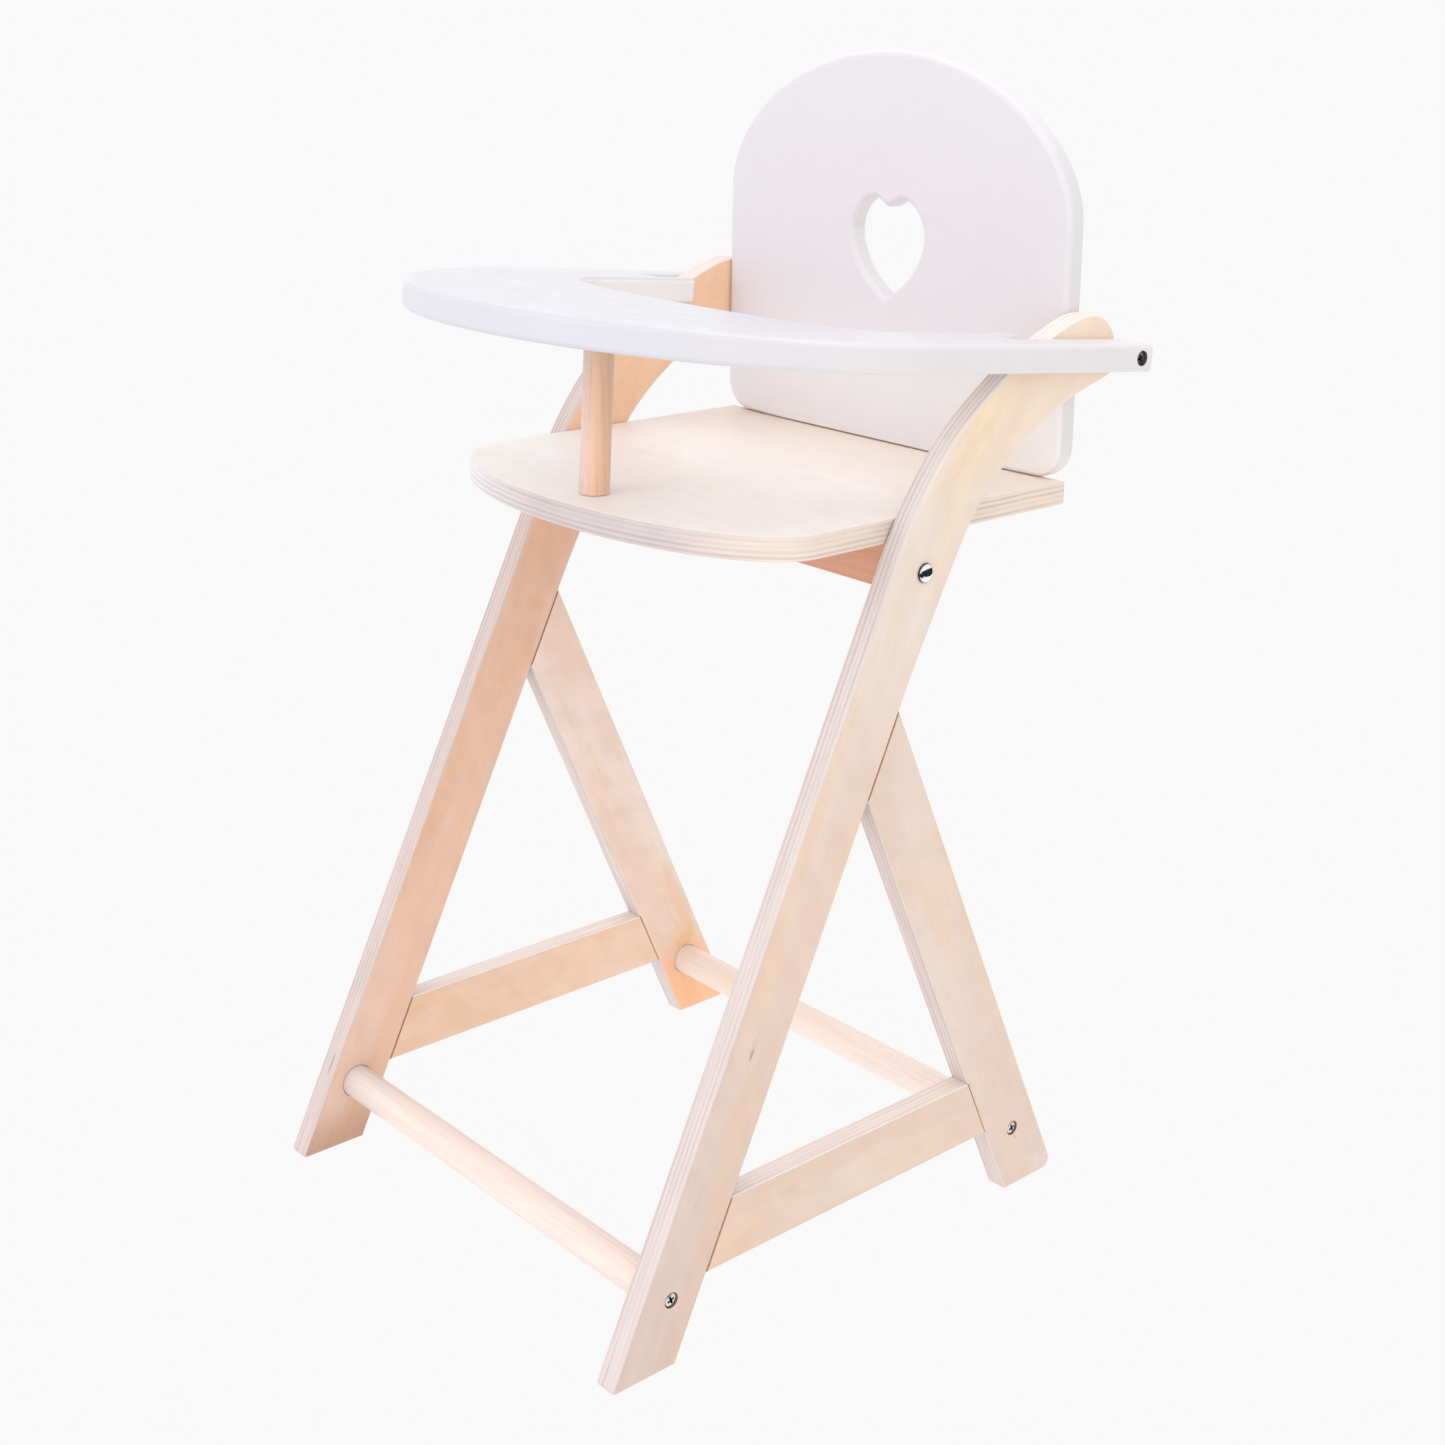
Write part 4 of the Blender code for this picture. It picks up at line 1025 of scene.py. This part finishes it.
rail_holes = [hole_for(f"seat_screw_{side}") for side, _ in SIDES]
for side, s in SIDES:
    face = chair(s * FRAME_OUT, CROSS_Y - 0.0002, BOLT_Z)
    rail_holes.append((cylinder_mesh("hole", BOLT_R + GAP, 0.0340, 32),
                       Matrix.Translation(face - Vector((s * 0.0155, 0, 0)))
                       @ Matrix.Rotation(math.pi / 2, 4, "Y")))
    rail_holes.append((cylinder_mesh("pocket", 0.0045 + GAP, 0.0180, 40),
                       Matrix.Translation(face + Vector((-s * 0.0230, 0, -0.0027)))))
cross = build("seat_rail_bar", box_mesh("bar", (2 * (FRAME_IN - GAP), CROSS_D, CROSS_H)),
              Matrix.Translation(chair(0, CROSS_Y, under_seat - GAP - CROSS_H / 2)), 0.0008, 3,
              rail_holes)
one(cross, beech_rail)
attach(cross, "chair")
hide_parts("seat_rail")

# ------------------------------------------------------------------- backrest
half_arc = [Vector((p.x, BACK_ARC_H + p.y))
            for p in arch(BACK_HALF_W, BACK_H - BACK_ARC_H, BACK_POWER, 192)[96:]]
half_arc[0].x = 0.0
half_foot = fillet([(BACK_HALF_W, BACK_ARC_H, 0), (BACK_HALF_W, 0, BACK_CORNER_R),
                    (0, 0, 0)])[1:]


def heart(steps):
    half = [(0.0, HEART_TOP - HEART_NOTCH, 0.0), (0.0100, HEART_TOP, 0.0),
            (HEART_W / 2, HEART_WIDE, -90.0), (0.0193, 0.0937, -124.0),
            (0.0, HEART_TIP, -141.0)]
    return through(half, steps)


half = half_arc + half_foot + list(reversed(heart(20)))
stand = Matrix(((1, 0, 0, 0), (0, 0, -1, 0), (0, 1, 0, 0), (0, 0, 0, 1)))


def board_rounding(edge):
    """Full rounding all round and in the heart, little along the foot."""
    if edge.calc_face_angle() < math.radians(50):
        return 0.0
    return 0.24 if max(v.co.y for v in edge.verts) < 0.0001 else 1.0


backrest = build("backrest_board",
                 weigh(plate_mesh("back", [half, [Vector((-p.x, p.y)) for p in reversed(half)]], BACK_T),
                       board_rounding),
                 Matrix.Translation(chair(0, BACK_FRONT + BACK_T / 2, SEAT_TOP + GAP)) @ stand,
                 BACK_ROUND, 8, weighted=True)
one(backrest, white_back)
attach(backrest, "chair")
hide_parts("backrest")

# ------------------------------------------------------------- tray and post
PIVOT = (Matrix.Translation(chair(0, PIVOT_Y, PIVOT_Z))
         @ Matrix.Rotation(-TRAY_TILT, 4, "X"))
front = arch(TRAY_WAIST, TRAY_ARC - TRAY_FRONT, 2.0, 224)
outer = [Vector((p.x, TRAY_ARC - p.y)) for p in front]
slot_in = FRAME_IN - SLOT_CLEAR
slot_out = FRAME_OUT + SLOT_CLEAR
cut_arc = [Vector((p.x, CUT_ARC - p.y))
           for p in arch(CUT_HALF_W, CUT_ARC - CUT_FRONT, CUT_POWER, 150)]
tips = fillet([
    (TRAY_WAIST, TRAY_ARC, 0), (TRAY_HALF_W, TRAY_END, 0), (slot_out, TRAY_END, 0),
    (slot_out, SLOT_END, 0), (slot_in, SLOT_END, 0), (slot_in, PRONG_END, 0),
    (CUT_HALF_W, PRONG_END, 0), (CUT_HALF_W, CUT_ARC, 0)])[1:-1]
mirror = [Vector((-p.x, p.y)) for p in reversed(tips)]
tray_outline = outer + tips + list(reversed(cut_arc)) + mirror

foot = chair(0, POST_Y, SEAT_TOP + GAP)
up = Vector((0, math.sin(POST_LEAN), math.cos(POST_LEAN)))
tray_n = Vector((0, math.sin(TRAY_TILT), math.cos(TRAY_TILT)))
under_tray = chair(0, PIVOT_Y, PIVOT_Z) - tray_n * (TRAY_T / 2)
reach = (under_tray - foot).dot(tray_n) / up.dot(tray_n)
post_len = reach + POST_TENON
lean = up.to_track_quat("Z", "Y").to_matrix().to_4x4()
tray_holes = [(cylinder_mesh("socket", POST_R + 0.00015, 0.0280, 64),
               Matrix.Translation(foot + up * (post_len + GAP - 0.0140)) @ lean)]
tray_holes += [hole_for(f"tray_pivot_screw_{side}", 0.0004) for side, _ in SIDES]


def tray_rounding(edge):
    """Every edge is rounded but those round the square ends of the tips."""
    at_tip = min(v.co.y for v in edge.verts) > TRAY_END - 0.0001
    return 1.0 if edge.calc_face_angle() > math.radians(50) and not at_tip else 0.0


tray = build("tray_board", weigh(plate_mesh("tray", [tray_outline], TRAY_T), tray_rounding), PIVOT,
             TRAY_ROUND, 7, tray_holes, weighted=True)


def in_cut_out(n):
    """1 on the upright wall of the tray's cut-out, fading towards its front."""
    aside = n.math("ABSOLUTE", n.vmath("DOT_PRODUCT", n.place, (1.0, 0.0, 0.0)))
    along = n.vmath("DOT_PRODUCT", n.vmath("SUBTRACT", n.place, chair(0, PIVOT_Y, PIVOT_Z)),
                    (0.0, math.cos(TRAY_TILT), -math.sin(TRAY_TILT)))
    upright = n.math("ABSOLUTE", n.vmath("DOT_PRODUCT", n.facing, tuple(tray_n)))
    f = n.math("MULTIPLY", n.step(aside, CUT_HALF_W + 0.0010, CUT_HALF_W + 0.0022, 1.0, 0.0),
               n.step(along, CUT_FRONT - 0.0020, CUT_FRONT + 0.0300))
    f = n.math("MULTIPLY", f, n.step(along, PRONG_END - 0.0022, PRONG_END - 0.0010, 1.0, 0.0))
    return n.math("MULTIPLY", f, n.step(upright, 0.35, 0.80, 1.0, 0.0))


# tray: painted shade on its sides and front edge by the way they face, painted light towards its +X end and on the
# cut-out's wall
white_tray = lacquer("white_tray", (0.660, 0.649, 0.700), (0.651, 0.640, 0.688), 1.3, peel=0.00003,
                     turned=[(tuple(-tray_n), -0.90, -0.45, (0.632, 0.618, 0.655)),
                            ((0.0, -1.0, 0.0), 0.25, 0.60, (0.583, 0.573, 0.622))],
                     tones=[(RIGHTWARD, 0.070, 0.150, PLAIN, (1.085, 1.070, 1.030))],
                     zones=[(in_cut_out, (0.835, 0.815, 0.795))])
one(tray, white_tray)
for side, s in SIDES:
    # painted shade on the walls of the pivot screw holes
    inside(tray, in_hole(f"tray_pivot_screw_{side}", 0.0006), tray_hole_painted_shade)
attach(tray, "tray")
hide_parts("tray")

post = build("tray_post_rod", cylinder_mesh("post", POST_R, post_len + 0.004, 72),
             Matrix.Translation(foot + up * (post_len / 2 - 0.002)) @ lean, 0.0, 1,
             [(box_mesh("trim", (0.04, 0.04, 0.02)), Matrix.Translation(foot - Vector((0, 0, 0.01))))])
one(post, beech_post)
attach(post, "tray")
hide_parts("tray_post")


# --------------------------------------------------------------------- screws
def screw_head(dome, head):
    """Raised countersunk head down to the top of the shank; height over the radius."""
    top = [(0.0, dome)]
    for k in range(1, 9):
        x = k / 8
        top.append((head * x * 0.985, dome * (1 - x * x)))
    return top + [(head, -0.00012), (head, -0.00040), (SHANK_R, -HEAD_DEPTH)]


for name, (centre, direction, length, sink, head, flare) in screws.items():
    pivot = "pivot" in name
    profile = screw_head(0.00030 if pivot else 0.00045, head)
    deep = -HEAD_DEPTH - 0.004
    profile += [(SHANK_R, deep)]
    z = deep
    while z > -length + 0.006:
        profile += [(SHANK_R * 0.80, z - 0.0004), (SHANK_R * 0.99, z - 0.0009)]
        z -= 0.0013
    profile += [(SHANK_R * 0.8, -length + 0.004), (0.0004, -length), (0.0, -length)]
    cross_tools = []
    for turn in (0.35, 0.35 + math.pi / 2):
        wide = box_mesh("slot", (0.0052, 0.00130, 0.0030))
        for v in wide.vertices:
            if v.co.z < 0:
                v.co.x *= 0.45
                v.co.y *= 0.75
        cross_tools.append((wide, places[name] @ Matrix.Rotation(turn, 4, "Z")
                            @ Matrix.Translation((0, 0, 0.0002))))
    obj = build(name + "_refined", turned_mesh("screw", profile, 48), places[name], 0.0, 1,
                cross_tools, angle=32.0)
    # pivot screws take the nickel with painted shade
    one(obj, nickel_painted_shade if pivot else nickel)
    # the inside of the cross recess is near-black: painted shade
    axis = Vector(direction)
    middle = places[name].translation
    inside(obj, lambda at, normal: (at - middle).dot(axis) > -0.0018
           and ((at - middle) - axis * (at - middle).dot(axis)).length < 0.0026
           and (normal.dot(axis) < 0.5 or (at - middle).dot(axis) < -0.0003), cross_painted_shade)
    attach(obj, "chair")
    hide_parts(name)

for side, s in SIDES:
    face = chair(s * FRAME_OUT, CROSS_Y - 0.0002, BOLT_Z)
    turn = Vector((s, 0, 0)).to_track_quat("Z", "Y").to_matrix().to_4x4()
    dome = [(DOME_R * math.sin(math.radians(a)), GAP + 0.0003 + DOME_H * math.cos(math.radians(a)))
            for a in range(6, 91, 6)]
    profile = ([(0.0, GAP + 0.0003 + DOME_H)] + dome
               + [(DOME_R, GAP), (BOLT_R, GAP), (BOLT_R, -0.0300), (0.0, -0.0300)])
    bolt = build(f"seat_rail_bolt_{side}_refined", turned_mesh("bolt", profile, 64),
                 Matrix.Translation(face) @ turn, angle=50.0)
    one(bolt, chrome)
    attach(bolt, "chair")
    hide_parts(f"seat_rail_bolt_{side}")

# hidden pieces keep their CAD shape and take a node material
for name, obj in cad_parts.items():
    if "_pin_" in name:
        one_mat = beech_pin
    elif "nut" in name:
        one_mat = zinc
    else:
        continue
    obj.data.materials.clear()
    obj.data.materials.append(one_mat)

# ------------------------------------------------------- floor, light, camera
PALE = (0.947, 0.947, 0.947)


def stage_material(name):
    mat = bpy.data.materials.new(name)
    mat.use_nodes = True
    tree = mat.node_tree
    tree.nodes.clear()
    out = tree.nodes.new("ShaderNodeOutputMaterial")
    glow = tree.nodes.new("ShaderNodeEmission")
    glow.inputs["Color"].default_value = (*PALE, 1.0)
    glow.inputs["Strength"].default_value = 1.0
    tree.links.new(glow.outputs[0], out.inputs["Surface"])
    return mat


floor_mesh = bpy.data.meshes.new("floor")
bm = bmesh.new()
bmesh.ops.create_circle(bm, cap_ends=True, segments=96, radius=6.0)
bm.to_mesh(floor_mesh)
bm.free()
floor = new_object("floor", floor_mesh)
floor.location = (0.0, 0.0, -0.0004)
floor.data.materials.append(stage_material("pale_floor"))

# a pale dome closes the view all round; it and the floor are only seen, and
# the soft light comes from the world and the lamps
dome_mesh = bpy.data.meshes.new("backdrop")
bm = bmesh.new()
bmesh.ops.create_uvsphere(bm, u_segments=64, v_segments=32, radius=9.0)
bm.to_mesh(dome_mesh)
bm.free()
backdrop = new_object("backdrop", dome_mesh)
backdrop.data.materials.append(stage_material("pale_backdrop"))
for seen in (floor, backdrop):
    seen.visible_diffuse = seen.visible_glossy = seen.visible_transmission = False
    seen.visible_shadow = False

world = bpy.data.worlds.new("studio")
bpy.context.scene.world = world
world.use_nodes = True
tree = world.node_tree
tree.nodes.clear()
world_out = tree.nodes.new("ShaderNodeOutputWorld")
back = tree.nodes.new("ShaderNodeBackground")
back.inputs["Color"].default_value = (1.0, 1.0, 1.0, 1.0)
back.inputs["Strength"].default_value = 1.12
tree.links.new(back.outputs[0], world_out.inputs["Surface"])


def area(name, place, target, size, power, colour=(1, 1, 1)):
    light = bpy.data.lights.new(name, "AREA")
    light.shape = "RECTANGLE"
    light.size, light.size_y = size
    light.energy = power
    light.color = colour
    obj = bpy.data.objects.new(name, light)
    bpy.context.scene.collection.objects.link(obj)
    obj.location = place
    aim = Vector(target) - Vector(place)
    obj.rotation_euler = aim.to_track_quat("-Z", "Y").to_euler()
    obj.visible_camera = False
    return obj


area("top_soft", (0.2, -0.3, 2.2), (0, 0, 0.3), (1.8, 1.8), 3.6)
area("front_soft", (-0.3, -2.1, 1.2), (0, 0, 0.3), (1.4, 1.4), 10.8)
area("right_soft", (1.9, -1.2, 1.0), (0, 0, 0.3), (1.4, 1.4), 5.4)



def flag(name, place, target, size):
    """Black card that only polished metal sees."""
    mesh = bpy.data.meshes.new(name)
    bm = bmesh.new()
    bmesh.ops.create_grid(bm, x_segments=1, y_segments=1, size=0.5)
    bmesh.ops.scale(bm, vec=(*size, 1.0), verts=bm.verts)
    bm.to_mesh(mesh)
    bm.free()
    mat = bpy.data.materials.new(name)
    mat.use_nodes = True
    mat.node_tree.nodes.clear()
    out = mat.node_tree.nodes.new("ShaderNodeOutputMaterial")
    black = mat.node_tree.nodes.new("ShaderNodeEmission")
    black.inputs["Color"].default_value = (0.03, 0.03, 0.03, 1.0)
    mat.node_tree.links.new(black.outputs[0], out.inputs["Surface"])
    mesh.materials.append(mat)
    obj = new_object(name, mesh)
    obj.location = place
    aim = Vector(target) - Vector(place)
    obj.rotation_euler = aim.to_track_quat("Z", "Y").to_euler()
    obj.visible_camera = obj.visible_diffuse = obj.visible_shadow = obj.visible_transmission = False
    return obj


bolt_at = chair(FRAME_OUT, CROSS_Y, BOLT_Z)
flag("flag_low", bolt_at + Vector((0.80, 0.80, -0.26)), bolt_at, (2.20, 0.42))
flag("flag_side", bolt_at + Vector((1.15, -0.05, -0.42)), bolt_at, (1.30, 0.50))

cam_data = bpy.data.cameras.new("camera")
cam_data.sensor_width = 36.0
cam_data.sensor_fit = "HORIZONTAL"
cam_data.lens = 54.019
cam_data.shift_x = -0.03278
cam_data.shift_y = -0.17071
cam_data.clip_start = 0.05
cam_data.clip_end = 50.0
cam = bpy.data.objects.new("camera", cam_data)
bpy.context.scene.collection.objects.link(cam)
cam.matrix_world = Matrix(((0.67473, -0.17731, 0.71645, 0.79317),
                           (0.73784, 0.13789, -0.66074, -0.52141 + Y_SHIFT),
                           (0.01837, 0.97445, 0.22387, 0.60920),
                           (0.0, 0.0, 0.0, 1.0)))
bpy.context.scene.camera = cam

view = bpy.context.scene.view_settings
view.view_transform = "Standard"
view.look = "None"
view.exposure = 0.0
view.gamma = 1.0
